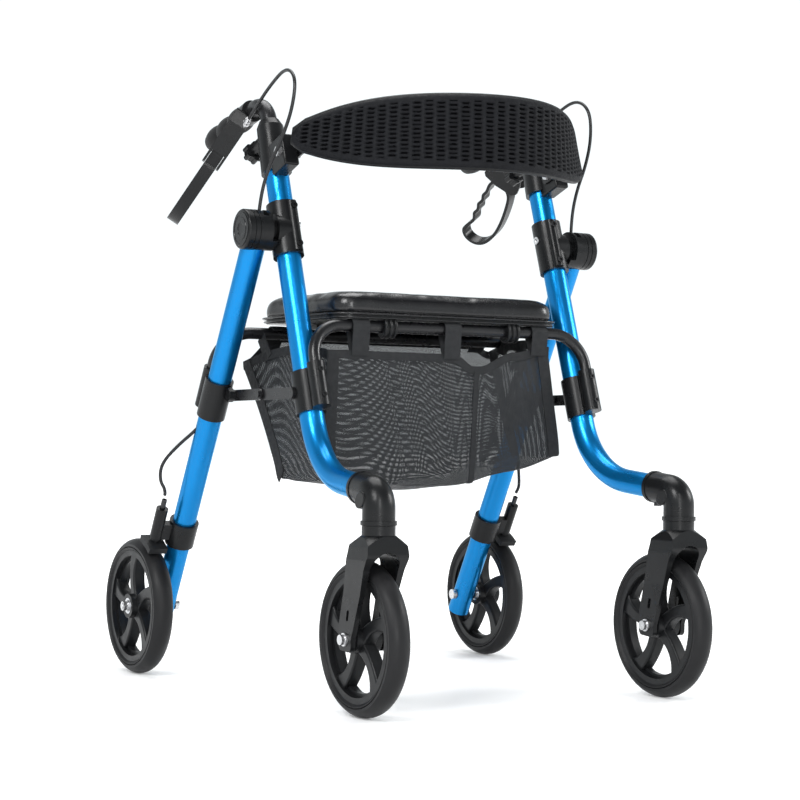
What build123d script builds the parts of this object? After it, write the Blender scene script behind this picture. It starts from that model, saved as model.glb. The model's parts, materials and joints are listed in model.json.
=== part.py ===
from build123d import *

import os
from math import atan2, cos, degrees, hypot, radians, sin, tan

# Four-wheeled walking frame (rollator) with a fold-up seat, basket, back strap and loop brakes.
# Millimetres. +Z is up, -Y is the walking direction (casters), +X is the user's left.
# The origin is on the floor, midway between the wheels and midway between the axles.
# Everything is drawn for the user's right side (-X) and mirrored for the left.

# Wheels and stance
WHEEL_RADIUS = 95.0
TYRE_WIDTH = 29.0
TYRE_INNER_RADIUS = 78.0
RIM_INNER_RADIUS = 70.5
AXLE_Y = 267.5
REAR_WHEEL_X = 290.0
CASTER_X = 224.5
CASTER_TRAIL = 34.0

# Frame
HINGE_Y = -20.5
HINGE_Z = 606.0
FRONT_LEG_X = 211.0
REAR_LEG_X = 252.0
FRONT_LEAN = 18.6
TUBE_OUTER = 16.0
TUBE_INNER = 14.0
CROSS_TUBE_OUTER = 8.0
CROSS_TUBE_INNER = 6.6
CROSS_TUBE_OFFSET = 29.0
CROSS_TUBE_BEND = 45.0
FRONT_BAR_S = -141.0
REAR_BAR_S = -165.0
FRONT_CLAMP_S = -253.0
REAR_CLAMP_S = -278.0
CLAMP_HEIGHT = 56.0
LEG_BEND_S = -334.5
LEG_BEND_RADIUS = 114.0
LEG_TOP_S = 150.0
FOOT_SLOPE = 6.0
REAR_LEG_END = 30.0

# Hinge, measured outboard from the front leg
NECK_END = 28.7
DRUM_START = 29.0
DRUM_END = 60.0
DRUM_RADIUS = 26.5
CAP_END = 64.5

# Pressed-on parts of the frame
CLAMP_WALL = 3.5
COLLAR_WALL = 4.5
CLAMP_SCREW_HEIGHTS = (13.0, 47.0)
BRACKET_SCREW_HEIGHTS = (-26.0, 28.0)
SLIDING_GAP = 0.08

# Caster
BEARING_OUTER = 11.0
BEARING_WIDTH = 7.0
STEM_RADIUS = 5.95
STEM_BORE = 6.0
ELBOW_RADIUS = 20.0
ELBOW_BEND = 21.5
ELBOW_SLEEVE = 50.0
LEG_END = 27.0
ELBOW_BOTTOM = 238.0
COVER_BOTTOM = 232.9
NECK_TOP = 232.4
NECK_RADIUS = 20.3
NECK_BOTTOM = 221.0
ARCH_TOP = 201.0
BLADE_INNER = 19.5
BLADE_OUTER = 26.0

# Wheel hub
HUB_RADIUS = 17.0
HUB_HALF = 17.0
AXLE_RADIUS = 4.0
AXLE_BORE = 4.05

# Handle
HANDLE_OUTER = 11.0
HANDLE_INNER = 9.0
HANDLE_BEND = 36.0
HANDLE_TOP_S = 192.5
HANDLE_BOTTOM_S = -30.0
HANDLE_SLOPE = 13.0
HANDLE_LENGTH = 160.6
SOCKET_BOTTOM_S = 84.0
SOCKET_SHOULDER_S = 151.0
SOCKET_TOP_S = 160.0
KNOB_S = 140.0
HOLE_PITCH = 25.0
HOLE_COUNT = 6
GRIP_START = 60.0
GRIP_END = 167.0
GRIP_RIBS = 3
GRIP_VALLEY = 13.8
GRIP_CREST = 17.0
COLLAR_START = 42.0
COLLAR_END = 58.0

# Brake lever, drawn in its own plane: X runs down the lever, Y away from the grip
LEVER_ORIGIN = 83.0
LEVER_TIP = (-245.5, 253.7, 650.7)
LEVER_NORMAL = (-0.789, 0.285, 0.544)
LEVER_PIVOT = (34.0, 36.0)
LEVER_HALF = 9.0
LEVER_BAND = 4.6
BRACKET_HALF = 13.0
LEVER_LOOP = [
    (58, 14),
    (70, 10.5),
    (80, 9.5),
    (89, 6.5),
    (99, 7.5),
    (108, 3.6),
    (118, 5),
    (128, 1.6),
    (139, 3.6),
    (150, 0),
    (160, -5),
    (169, -7),
    (177, -2.5),
    (181, 6),
    (180.5, 17),
    (174, 28),
    (160, 37.5),
    (143, 43.5),
    (121, 47),
    (100, 48),
    (80, 47.5),
    (62, 43),
    (56, 36),
    (54.5, 24),
]
BRACKET_OUTLINE = [
    (-38, 27),
    (-12, 28),
    (10, 17),
    (44, -1.5),
    (50, 2),
    (56, 22),
    (57, 50),
    (50, 58),
    (34, 59),
    (0, 50),
    (-17, 43),
]

# Brake
BRAKE_X = 38.0
SHOE_GAP = 4.0
SHOE_THICKNESS = 9.0

# Folding braces
BRACE_FRONT = (-88.0, 392.5)
BRACE_MIDDLE = (-3.0, 391.8)
BRACE_REAR = (70.0, 391.0)
BRACE_HALF_WIDTH = 7.5
FRONT_BRACE_X = (-235.5, -232.3)
REAR_BRACE_X = (-239.2, -235.9)
BRACE_RIVET = 1.8
BRACE_RIVET_RADIUS = 4.5
BRACE_PIN_RADIUS = 2.94

# Seat, back strap and basket
SEAT_FRONT_Y = -105.0
SEAT_REAR_Y = 118.0
SEAT_FRONT_HALF = 176.0
SEAT_REAR_HALF = 186.0
SEAT_BOTTOM = 490.3
SEAT_SPLIT = 496.0
SEAT_TOP = 524.0
SEAT_CLIP_X = 96.0
STRAP_HALF = 206.0
STRAP_END_Y = -75.0
STRAP_BOW = 158.0
STRAP_THICKNESS = 18.0
STRAP_TOP = 774.0
STRAP_BOTTOM = 679.0
STRAP_TAPER = 29.0
STRAP_TAPER_POWER = 5.3
STRAP_TAPER_LIMIT = 34.0
STRAP_PLATE = 2.6
PIVOT_Y = -40.0
PIVOT_S = 96.0
BASKET_HALF = 188.0
BASKET_WALL = 2.5
BASKET_RIM = 430.0
BASKET_OPEN_TOP = 470.0
BASKET_PROFILE = [(-99, 452), (124, 440), (50, 288), (-30, 268), (-84, 296)]

CABLE_RADIUS = 2.3
UPPER_CABLE = [
    (-223, 84, 756),
    (-226, 45, 775),
    (-227, -5, 801),
    (-229, -55, 817),
    (-231, -86, 798),
    (-235, -84, 758),
    (-239.5, -65, 722),
    (-243.5, -38, 690),
    (-247, -21, 655),
    (-248.3, -18, 630),
]
LOWER_CABLE = [
    (-252, 32, 513),
    (-249, 66, 452),
    (-254, 98, 396),
    (-256, 118, 362),
    (-266, 133, 344),
    (-280, 163, 322),
    (-295, 183, 297),
    (-297, 183, 274),
    (-291.5, 175.2, 261),
    (-290, 181, 254),
]

# Worked-out places
AXLE_Z = WHEEL_RADIUS
REAR_LEAN = degrees(atan2(AXLE_Y - HINGE_Y, HINGE_Z - AXLE_Z))
AXLE_S = -hypot(AXLE_Y - HINGE_Y, HINGE_Z - AXLE_Z)
CASTER_Y = -AXLE_Y - CASTER_TRAIL
FRONT = Plane(
    origin=(-FRONT_LEG_X, HINGE_Y, HINGE_Z),
    x_dir=(1, 0, 0),
    z_dir=(0, sin(radians(FRONT_LEAN)), cos(radians(FRONT_LEAN))),
)
REAR = Plane(
    origin=(-REAR_LEG_X, HINGE_Y, HINGE_Z),
    x_dir=(1, 0, 0),
    z_dir=(0, -sin(radians(REAR_LEAN)), cos(radians(REAR_LEAN))),
)
LEG_BEND = FRONT.from_local_coords((0, 0, LEG_BEND_S))
FOOT_DROP = (LEG_BEND.Y - CASTER_Y) * tan(radians(FOOT_SLOPE))
ELBOW = Vector(-CASTER_X, CASTER_Y, LEG_BEND.Z - FOOT_DROP)
FOOT_DIR = (LEG_BEND - ELBOW).normalized()
HANDLE_TOP = FRONT.from_local_coords((0, 0, HANDLE_TOP_S))
GRIP_DIR = Vector(0, cos(radians(HANDLE_SLOPE)), -sin(radians(HANDLE_SLOPE)))
HANDLE_END = HANDLE_TOP + GRIP_DIR * HANDLE_LENGTH
LEVER_START = HANDLE_TOP + GRIP_DIR * LEVER_ORIGIN
LEVER = Plane(origin=LEVER_START, x_dir=Vector(*LEVER_TIP) - LEVER_START, z_dir=LEVER_NORMAL)


# ---------------------------------------------------------------- small helpers
def rod(start, end, radius):
    """Solid cylinder between two points."""
    start, end = Vector(start), Vector(end)
    bottom = (Align.CENTER, Align.CENTER, Align.MIN)
    return Plane(origin=start, z_dir=end - start) * Cylinder(radius, (end - start).length, align=bottom)


def collar(start, end, outer, inner):
    """Ring between two points."""
    return rod(start, end, outer) - rod(start, end, inner)


def cone_between(low, high, bottom_radius, top_radius):
    """Round taper standing on the Z axis."""
    cone = Cone(bottom_radius, top_radius, high - low, align=(Align.CENTER, Align.CENTER, Align.MIN))
    return Pos(0, 0, low) * cone


def block(low, high, radius=0.0):
    """Box between two corners, with its edges rounded if a radius is given."""
    size = [high[i] - low[i] for i in range(3)]
    centre = [(high[i] + low[i]) / 2 for i in range(3)]
    body = Pos(*centre) * Box(*size)
    return fillet(body.edges(), radius) if radius else body


def slab(outline, x_low, x_high, radius=0.0):
    """Polygon in the Y-Z plane, with rounded corners, between two X planes."""
    face = make_face(Polyline(*outline, close=True))
    if radius:
        face = fillet(face.vertices(), radius)
    return Plane(origin=(x_low, 0, 0), x_dir=(0, 1, 0), z_dir=(1, 0, 0)) * extrude(face, x_high - x_low)


def pipe(points, radii, outer, inner=0.0):
    """Round bar or tube along straight runs joined by tangent arcs."""
    path = FilletPolyline(*points, radius=radii)
    start = Plane(origin=path @ 0, z_dir=path % 0)
    body = sweep(start * Circle(outer), path=path)
    return body - sweep(start * Circle(inner), path=path) if inner else body


def cord_radii(points):
    """Each corner as large an arc as its two runs allow."""
    radii = []
    for before, corner, after in zip(points, points[1:], points[2:]):
        run_in = Vector(corner) - Vector(before)
        run_out = Vector(after) - Vector(corner)
        turn = run_in.get_angle(run_out)
        radii.append(0.45 * min(run_in.length, run_out.length) / tan(radians(turn / 2)))
    return radii


def screw(head_centre, direction, shank=3.0, head=5.0, length=12.0, thick=3.0):
    """Socket-head screw: a head with a hexagonal recess, and its shank behind it."""
    seat = Plane(origin=head_centre, z_dir=direction)
    body = Cylinder(head, thick, align=(Align.CENTER, Align.CENTER, Align.MIN))
    body -= Pos(0, 0, thick - 1.6) * extrude(RegularPolygon(head * 0.5, 6), 2)
    body += Pos(0, 0, -length) * Cylinder(shank, length, align=(Align.CENTER, Align.CENTER, Align.MIN))
    return seat * body


def save(name, *shapes):
    """Write one sub-part, as one solid or as a group of separate ones."""
    solids = [solid for shape in shapes for solid in shape.solids()]
    node = solids[0] if len(solids) == 1 else Compound(children=solids)
    node.label = name
    export_step(node, f"parts/{name}.step")


def flip(shape):
    return mirror(shape, about=Plane.YZ)


def save_sides(name, shape):
    save(f"right_{name}", shape)
    save(f"left_{name}", flip(shape))


def save_pair(name, *shapes):
    save(name, *shapes, *[flip(shape) for shape in shapes])


# ---------------------------------------------------------------- front frame
def front_leg():
    top = FRONT.from_local_coords((0, 0, LEG_TOP_S))
    end = ELBOW + FOOT_DIR * LEG_END
    leg = pipe([top, LEG_BEND, end], LEG_BEND_RADIUS, TUBE_OUTER, TUBE_INNER)
    return leg - FRONT * rod((0, 8, KNOB_S), (0, 20, KNOB_S), 4.1)


def cross_tube(plane, side, spacing, bar_s, clamp_s):
    y = side * CROSS_TUBE_OFFSET
    foot = clamp_s + 2
    points = [(0, y, foot), (0, y, bar_s), (spacing, y, bar_s), (spacing, y, foot)]
    return plane * pipe(points, CROSS_TUBE_BEND, CROSS_TUBE_OUTER, CROSS_TUBE_INNER)


def tube_clamp(side, bottom):
    """Double barrel: the wide one holds the leg, the narrow one the cross tube."""
    top = bottom + CLAMP_HEIGHT
    y = side * CROSS_TUBE_OFFSET
    body = rod((0, 0, bottom), (0, 0, top), TUBE_OUTER + CLAMP_WALL)
    body += rod((0, y, bottom), (0, y, top + 3), CROSS_TUBE_OUTER + CLAMP_WALL)
    web_y = sorted((side * 12.0, side * 26.0))
    body += block((-8, web_y[0], bottom + 1), (8, web_y[1], top - 1))
    body -= rod((0, 0, bottom - 1), (0, 0, top + 1), TUBE_OUTER)
    return body - rod((0, y, bottom + 2), (0, y, top + 4), CROSS_TUBE_OUTER)


def front_clamp():
    body = tube_clamp(-1, FRONT_CLAMP_S)
    pivot = FRONT.to_local_coords(Vector(-FRONT_LEG_X, *BRACE_FRONT))
    boss = rod((-15, pivot.Y, pivot.Z), (-21.1, pivot.Y, pivot.Z), 8)
    boss -= rod((0, 0, FRONT_CLAMP_S), (0, 0, FRONT_CLAMP_S + CLAMP_HEIGHT), TUBE_OUTER + 1)
    return FRONT * (body + boss - rod((-17.2, pivot.Y, pivot.Z), (-22, pivot.Y, pivot.Z), 3))


def clamp_screws(plane, side, bottom):
    y = side * (CROSS_TUBE_OFFSET + CROSS_TUBE_OUTER + CLAMP_WALL)
    heads = [(0, y, bottom + height) for height in CLAMP_SCREW_HEIGHTS]
    return [plane * screw(head, (0, side, 0), 2, 3.6, 3.4, 1.4) for head in heads]


def hinge_bracket():
    body = rod((0, 0, -36), (0, 0, 38), TUBE_OUTER + COLLAR_WALL)
    body += rod((5, -18, -34), (5, -18, 36), 7)
    body += rod((0, 0, 0), (-NECK_END, 0, 0), 14)
    body += rod((0, 0, 0), (-TUBE_OUTER - 3, 0, 0), 22)
    body -= rod((0, 0, -37), (0, 0, 39), TUBE_OUTER)
    return FRONT * (body - rod((-16, 0, 0), (-NECK_END - 1, 0, 0), 5))


def hinge_bolt():
    bolt = rod((-16.6, 0, 0), (-56, 0, 0), 5) + rod((-56, 0, 0), (-59.6, 0, 0), 9)
    return FRONT * bolt


def bracket_fasteners():
    heads = [(5, -25, z) for z in BRACKET_SCREW_HEIGHTS]
    screws = [FRONT * screw(head, (0, -1, 0), 2.5, 4.6, 7, 2) for head in heads]
    rivet = FRONT * screw((20.5, 0, 12), (1, 0, 0), 2.5, 5.5, 4, 1.8)
    return screws + [rivet]


def height_socket():
    """Moulded sleeve on top of the leg: guides the handle, carries the knob and the back strap."""
    shell = cone_between(SOCKET_BOTTOM_S, SOCKET_SHOULDER_S, 20.5, 18)
    shell += cone_between(SOCKET_SHOULDER_S, SOCKET_TOP_S, 18, 13.5)
    shell += rod((0, 10, KNOB_S), (0, 34, KNOB_S), 10)
    shell += rod((0, 0, KNOB_S - 18), (0, 14, KNOB_S - 18), 13)
    shell += block((-14, PIVOT_Y - 12, PIVOT_S - 22), (8, -12, PIVOT_S + 22), 3)
    shell -= rod((0, 0, SOCKET_BOTTOM_S - 20), (0, 0, LEG_TOP_S), TUBE_OUTER)
    shell -= rod((0, 0, LEG_TOP_S - 1), (0, 0, SOCKET_TOP_S + 1), HANDLE_OUTER + SLIDING_GAP)
    shell -= rod((0, 8, KNOB_S), (0, 40, KNOB_S), 4.1)
    shell -= rod((-20, PIVOT_Y, PIVOT_S), (20, PIVOT_Y, PIVOT_S), 4)
    return FRONT * shell


def strap_pivot_bolt():
    """Hexagon bolt that the back strap's plate turns on."""
    bolt = rod((-14, PIVOT_Y, PIVOT_S), (15, PIVOT_Y, PIVOT_S), 4)
    for x in (-18.5, 11.4):
        head = extrude(RegularPolygon(7, 6), 4.5)
        bolt += Plane(origin=(x, PIVOT_Y, PIVOT_S), z_dir=(1, 0, 0)) * head
    return FRONT * bolt


def caster_elbow():
    """Moulded knee: takes the end of the leg and holds the swivel's two bearings."""
    sleeve_end = ELBOW + FOOT_DIR * ELBOW_SLEEVE
    foot = Vector(ELBOW.X, ELBOW.Y, ELBOW_BOTTOM)
    body = pipe([sleeve_end, ELBOW, foot], ELBOW_BEND, ELBOW_RADIUS)
    body += rod(sleeve_end, sleeve_end - FOOT_DIR * 5, ELBOW_RADIUS + 1)
    for side in (-1, 1):
        centre = ELBOW + Vector(side * (ELBOW_RADIUS - 5), 11, -8)
        facing = Plane(origin=centre, x_dir=(0, 1, -0.7), z_dir=(side, 0, 0))
        ear = facing * extrude(Ellipse(12, 9.5), 6.2)
        body += fillet(ear.edges().sort_by(Axis.X)[-1 if side > 0 else 0], 1.5)
    body -= rod(ELBOW + FOOT_DIR * (ELBOW_SLEEVE + 1), ELBOW + FOOT_DIR * LEG_END, TUBE_OUTER)
    return body - rod(foot - Vector(0, 0, 1), foot + Vector(0, 0, 33), BEARING_OUTER)


def caster_bearings():
    """Two plain rings, one at each end of the elbow's bore."""
    x, y = ELBOW.X, ELBOW.Y
    low = ELBOW_BOTTOM + 0.5
    starts = (low, low + 20.5)
    return [collar((x, y, z), (x, y, z + BEARING_WIDTH), BEARING_OUTER, STEM_BORE) for z in starts]


def caster_cover():
    x, y = ELBOW.X, ELBOW.Y
    return collar((x, y, COVER_BOTTOM), (x, y, ELBOW_BOTTOM), 22, 9)


def elbow_screws():
    under = ELBOW + FOOT_DIR * 41 - Vector(0, 0, 19.4)
    return [screw(under, (0, 0, -1), 3, 5, 2.5, 5)]


# ---------------------------------------------------------------- rear frame
def rear_leg():
    leg = collar((0, 0, -8), (0, 0, AXLE_S - REAR_LEG_END), TUBE_OUTER, TUBE_INNER)
    leg -= rod((-30, 0, 0), (30, 0, 0), DRUM_RADIUS)
    leg -= rod((-20, 0, AXLE_S), (20, 0, AXLE_S), AXLE_RADIUS)
    leg = REAR * leg
    for start, end in zip(LOWER_CABLE[3:5], LOWER_CABLE[4:6]):
        leg -= rod(start, end, CABLE_RADIUS + 2.4)
    return leg


def rear_hinge():
    """Drum that turns on the hinge bolt, with a spigot into the rear leg and a cable slot on top."""
    shift = REAR_LEG_X - FRONT_LEG_X
    inner, outer = shift - DRUM_START, shift - DRUM_END
    body = rod((inner, 0, 0), (outer, 0, 0), DRUM_RADIUS)
    skirt = collar((inner, 0, 0), (inner + 8.2, 0, 0), DRUM_RADIUS, 17)
    body += skirt & block((inner, -30, -30), (inner + 9, 22, -3))
    body += rod((0, 0, -20), (0, 0, -66), TUBE_INNER - 0.1)
    groove_x = (inner - 3.2, inner - 13.5)
    for x in (inner - 18, inner - 25):
        body -= collar((x, 0, 0), (x - 1.2, 0, 0), DRUM_RADIUS + 1, DRUM_RADIUS - 0.9)
    body -= rod((inner + 1, 0, 0), (outer - 1, 0, 0), 5.06)
    body -= rod((outer - 1, 0, 0), (outer + 5, 0, 0), 10)
    reach = 40.0
    arc = [(reach * cos(radians(a)), reach * sin(radians(a))) for a in (40, 62, 84, 108)]
    wedge = slab([(0, 0)] + arc, groove_x[1] + 2, groove_x[0] - 1)
    groove = collar((groove_x[0], 0, 0), (groove_x[1], 0, 0), DRUM_RADIUS + 2, 18) & wedge
    return REAR * (body - groove)


def rear_hinge_cap():
    shift = REAR_LEG_X - FRONT_LEG_X
    disc = rod((shift - DRUM_END - 0.1, 0, 0), (shift - CAP_END, 0, 0), DRUM_RADIUS)
    return REAR * fillet(disc.edges().sort_by(Axis.X)[0], 3)


def rear_clamp():
    body = tube_clamp(1, REAR_CLAMP_S)
    pivot = REAR.to_local_coords(Vector(-REAR_LEG_X, *BRACE_REAR))
    lug = rod((3, pivot.Y, pivot.Z), (12.5, pivot.Y, pivot.Z), 8)
    lug += block((3, pivot.Y - 4, pivot.Z - 8), (11, -12, pivot.Z + 8))
    lug -= rod((0, 0, REAR_CLAMP_S), (0, 0, REAR_CLAMP_S + CLAMP_HEIGHT), TUBE_OUTER + 1)
    return REAR * (body + lug - rod((8, pivot.Y, pivot.Z), (14, pivot.Y, pivot.Z), 3))


def brake_housing():
    """Collar on the rear leg with an arm and the tube that guides the brake plunger."""
    high = rod((-BRAKE_X, 0, AXLE_S + 161), (-BRAKE_X, 0, AXLE_S + 112), 8.3)
    body = rod((0, 0, AXLE_S + 104), (0, 0, AXLE_S + 140), TUBE_OUTER + COLLAR_WALL) + high
    body += block((-BRAKE_X, -6, AXLE_S + 113), (-10, 6, AXLE_S + 137))
    body -= rod((0, 0, AXLE_S + 100), (0, 0, AXLE_S + 142), TUBE_OUTER)
    body -= rod((-BRAKE_X, 0, AXLE_S + 111), (-BRAKE_X, 0, AXLE_S + 155), 5)
    return REAR * (body - rod((-BRAKE_X, 0, AXLE_S + 150), (-BRAKE_X, 0, AXLE_S + 162), 2.6))


def brake_shoe():
    """Plunger with a curved shoe that presses on the tyre."""
    inner = WHEEL_RADIUS + SHOE_GAP
    outer = inner + SHOE_THICKNESS
    ring = collar((-BRAKE_X - 13.5, 0, AXLE_S), (-BRAKE_X + 13.5, 0, AXLE_S), outer, inner)
    half = tan(radians(10)) * 130
    wedge = slab([(0, 0), (-half, 130), (half, 130)], -BRAKE_X - 14, -BRAKE_X + 14)
    shoe = ring & (Pos(0, 0, AXLE_S) * wedge)
    return REAR * (shoe + rod((-BRAKE_X, 0, AXLE_S + inner + 4), (-BRAKE_X, 0, AXLE_S + 147), 4.92))


def cable_ferrule():
    start = AXLE_S + 161.0
    body = rod((-BRAKE_X, 0, start - 8), (-BRAKE_X, 0, start + 2), 2.55)
    body += collar((-BRAKE_X, 0, start), (-BRAKE_X, 0, start + 14), 3.6, CABLE_RADIUS)
    return REAR * body


def rear_axle():
    bolt = rod((17, 0, AXLE_S), (-BRAKE_X - 26, 0, AXLE_S), AXLE_RADIUS)
    bolt += rod((16, 0, AXLE_S), (22, 0, AXLE_S), 7.5) - rod((0, 0, AXLE_S - 9), (0, 0, AXLE_S + 9), 16)
    bolt += rod((-16.2, 0, AXLE_S), (-BRAKE_X + HUB_HALF + 0.3, 0, AXLE_S), 8)
    bolt += rod((-BRAKE_X - HUB_HALF - 0.3, 0, AXLE_S), (-BRAKE_X - HUB_HALF - 2, 0, AXLE_S), 8)
    bolt += rod((-BRAKE_X - HUB_HALF - 2, 0, AXLE_S), (-BRAKE_X - 25, 0, AXLE_S), 6.5)
    bolt -= rod((0, 0, AXLE_S - 20), (0, 0, AXLE_S + 20), TUBE_INNER) - rod(
        (-20, 0, AXLE_S), (20, 0, AXLE_S), AXLE_RADIUS
    )
    return REAR * bolt


# ---------------------------------------------------------------- wheels and casters
def tyre(centre):
    """Solid rubber ring with a fine groove round each side."""
    half = TYRE_WIDTH / 2
    inner = TYRE_INNER_RADIUS
    shoulder = WHEEL_RADIUS - 8
    groove = [(half, inner + 3), (half, inner + 4), (half - 1.4, inner + 4.8)]
    groove += [(half, inner + 5.8), (half, shoulder)]
    profile = Polyline(*[(-x, radius) for x, radius in groove[::-1]])
    profile += Polyline((-half, inner + 3), (-half + 3, inner), (half - 3, inner), (half, inner + 3))
    profile += Polyline(*groove)
    profile += ThreePointArc((half, shoulder), (0, WHEEL_RADIUS), (-half, shoulder))
    return Pos(*centre) * revolve(make_face(profile), axis=Axis.X)


def spoke():
    """Curved blade, wide at the hub and at the rim."""
    hub, rim = HUB_RADIUS - 3, RIM_INNER_RADIUS + 2
    leading = ThreePointArc((-10, hub), (-1, 42), (-17, rim))
    trailing = ThreePointArc((10, hub), (14, 42), (11, rim))
    outline = leading + Line((-17, rim), (11, rim)) + trailing + Line((10, hub), (-10, hub))
    blade = extrude(make_face(outline), 9, both=True)
    return fillet(blade.edges().filter_by(GeomType.CIRCLE), 3)


def rim(centre):
    body = collar((-12, 0, 0), (12, 0, 0), TYRE_INNER_RADIUS, RIM_INNER_RADIUS)
    body += collar((-4, 0, 0), (4, 0, 0), TYRE_INNER_RADIUS - 1, RIM_INNER_RADIUS - 5)
    body += rod((-HUB_HALF, 0, 0), (HUB_HALF, 0, 0), HUB_RADIUS)
    upright = Plane(origin=(0, 0, 0), x_dir=(0, 1, 0), z_dir=(1, 0, 0))
    for index in range(5):
        body += upright * (Rot(0, 0, 72 * index) * spoke())
    body -= rod((-HUB_HALF - 1, 0, 0), (HUB_HALF + 1, 0, 0), 6)
    for side in (-1, 1):
        pocket = side * (HUB_HALF - BEARING_WIDTH)
        body -= rod((pocket, 0, 0), (side * (HUB_HALF + 1), 0, 0), BEARING_OUTER)
    return Pos(*centre) * body


def wheel_bearings(centre):
    rings = []
    for side in (-1, 1):
        near, far = side * (HUB_HALF - BEARING_WIDTH), side * HUB_HALF
        rings.append(Pos(*centre) * collar((near, 0, 0), (far, 0, 0), BEARING_OUTER, AXLE_BORE))
    return rings


def fork_front_profile():
    """The fork seen from in front: round shoulders over an arch, then two legs."""
    outer = [(-26, 70), (-26, 150), (-29, 192), (-27.5, 208), (-NECK_RADIUS, NECK_BOTTOM + 4)]
    outer += [(-x, z) for x, z in outer[::-1]]
    corners = make_face(Polyline(*outer, close=True)).vertices()
    return fillet(corners.filter_by_position(Axis.Y, 100, 215), 9)


def arch_profile():
    """The space that the wheel turns in."""
    straight = ARCH_TOP - BLADE_INNER
    arch = Pos(0, straight) * Circle(BLADE_INNER)
    return arch + Pos(0, straight / 2) * Rectangle(2 * BLADE_INNER, straight)


def fork_side_outline():
    """The fork seen from the side, as Y and Z: a neck that sweeps back down to the axle."""
    y, axle_y = ELBOW.Y, -AXLE_Y
    rear = [(y + NECK_RADIUS, NECK_BOTTOM + 4), (y + 24, 203), (axle_y + 15, 112), (axle_y + 15, 82)]
    front = [(axle_y - 15, 80), (axle_y - 15.5, 96), (y - 14, 180), (y - 25, 197)]
    return rear + front + [(y - NECK_RADIUS, NECK_BOTTOM + 4)]


def caster_fork():
    """One moulding: stem, round neck, and two blades that hold the wheel's axle bolt."""
    x, y = ELBOW.X, ELBOW.Y
    axle = (-AXLE_Y, AXLE_Z)
    facing = Plane(origin=(x, y, 0), x_dir=(1, 0, 0), z_dir=(0, -1, 0))
    shape = facing * extrude(fork_front_profile(), 70, both=True)
    shape &= slab(fork_side_outline(), x - 35, x + 35, 7)
    shape &= Pos(x, y, 0) * cone_between(60, NECK_BOTTOM, 230, NECK_RADIUS)
    shape -= facing * extrude(arch_profile(), 70, both=True)
    body = shape + rod((x, y, NECK_BOTTOM - 6), (x, y, NECK_TOP), NECK_RADIUS)
    slot = [(axle[0] - 8, 118), (axle[0] - 2, 116), (axle[0] - 5, 130), (axle[0] - 11, 132)]
    body -= slab(slot, x - 40, x + 40, 2.4)
    body += rod((x, y, NECK_TOP - 1), (x, y, ELBOW_BOTTOM + 31.5), STEM_RADIUS)
    body += rod((x, y, ELBOW_BOTTOM + 28.4), (x, y, ELBOW_BOTTOM + 31.5), 8)
    return body - rod((x - 30, *axle), (x + 30, *axle), AXLE_RADIUS)


def front_axle():
    x = ELBOW.X
    centre = (-AXLE_Y, AXLE_Z)
    bolt = rod((x - 31, *centre), (x + 31, *centre), AXLE_RADIUS)
    for side in (-1, 1):
        bolt += rod((x + side * (HUB_HALF + 0.3), *centre), (x + side * BLADE_INNER, *centre), 8)
        bolt += rod((x + side * BLADE_OUTER, *centre), (x + side * 28, *centre), 8)
        bolt += rod((x + side * 28, *centre), (x + side * 33, *centre), 6.2)
    return bolt


# ---------------------------------------------------------------- handles and brakes
def handle_tube():
    bottom = FRONT.from_local_coords((0, 0, HANDLE_BOTTOM_S))
    tube = pipe([bottom, HANDLE_TOP, HANDLE_END], HANDLE_BEND, HANDLE_OUTER, HANDLE_INNER)
    for index in range(HOLE_COUNT):
        s = KNOB_S - HOLE_PITCH * index
        tube -= FRONT * rod((0, 6, s), (0, 14, s), 3.5)
    return tube


def grip():
    """Rubber sleeve of rounded ribs with a domed end."""
    pitch = (GRIP_END - GRIP_START) / GRIP_RIBS
    outline = Polyline((GRIP_VALLEY, GRIP_END), (HANDLE_OUTER, GRIP_END), (HANDLE_OUTER, GRIP_START))
    outline += Line((HANDLE_OUTER, GRIP_START), (GRIP_VALLEY, GRIP_START))
    for index in range(GRIP_RIBS):
        low = GRIP_START + pitch * index
        crest = (GRIP_CREST, low + pitch / 2)
        outline += ThreePointArc((GRIP_VALLEY, low), crest, (GRIP_VALLEY, low + pitch))
    sleeve = revolve(make_face(Plane.XZ * outline), axis=Axis.Z)
    dome = rod((0, 0, HANDLE_LENGTH), (0, 0, GRIP_END + 6.5), GRIP_VALLEY)
    dome = fillet(dome.edges().sort_by(Axis.Z)[-1], 6)
    return Plane(origin=HANDLE_TOP, x_dir=(1, 0, 0), z_dir=GRIP_DIR) * (sleeve + dome)


def lever_bracket():
    """Wedge-shaped housing clamped on the handle tube, slotted for the lever."""
    face = fillet(make_face(Polyline(*BRACKET_OUTLINE, close=True)).vertices(), 3)
    wedge = extrude(face, BRACKET_HALF, both=True)
    px, py = LEVER_PIVOT
    slot = Pos(px + 27, py - 10) * Rectangle(66, 100)
    slot += Pos(px, py) * Circle(13)
    wedge -= extrude(slot, LEVER_HALF + 0.5, both=True)
    wedge += rod((px, py, -BRACKET_HALF), (px, py, BRACKET_HALF), 3)
    body = LEVER * wedge
    body += rod(along_handle(COLLAR_START), along_handle(COLLAR_END), 15.5)
    body -= rod(along_handle(COLLAR_START - 30), along_handle(COLLAR_END + 70), HANDLE_OUTER)
    mouth, ahead = Vector(*UPPER_CABLE[0]), Vector(*UPPER_CABLE[1])
    return body - rod(mouth - (ahead - mouth).normalized(), ahead, CABLE_RADIUS + 0.7)


def along_handle(distance):
    return HANDLE_TOP + GRIP_DIR * distance


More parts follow.
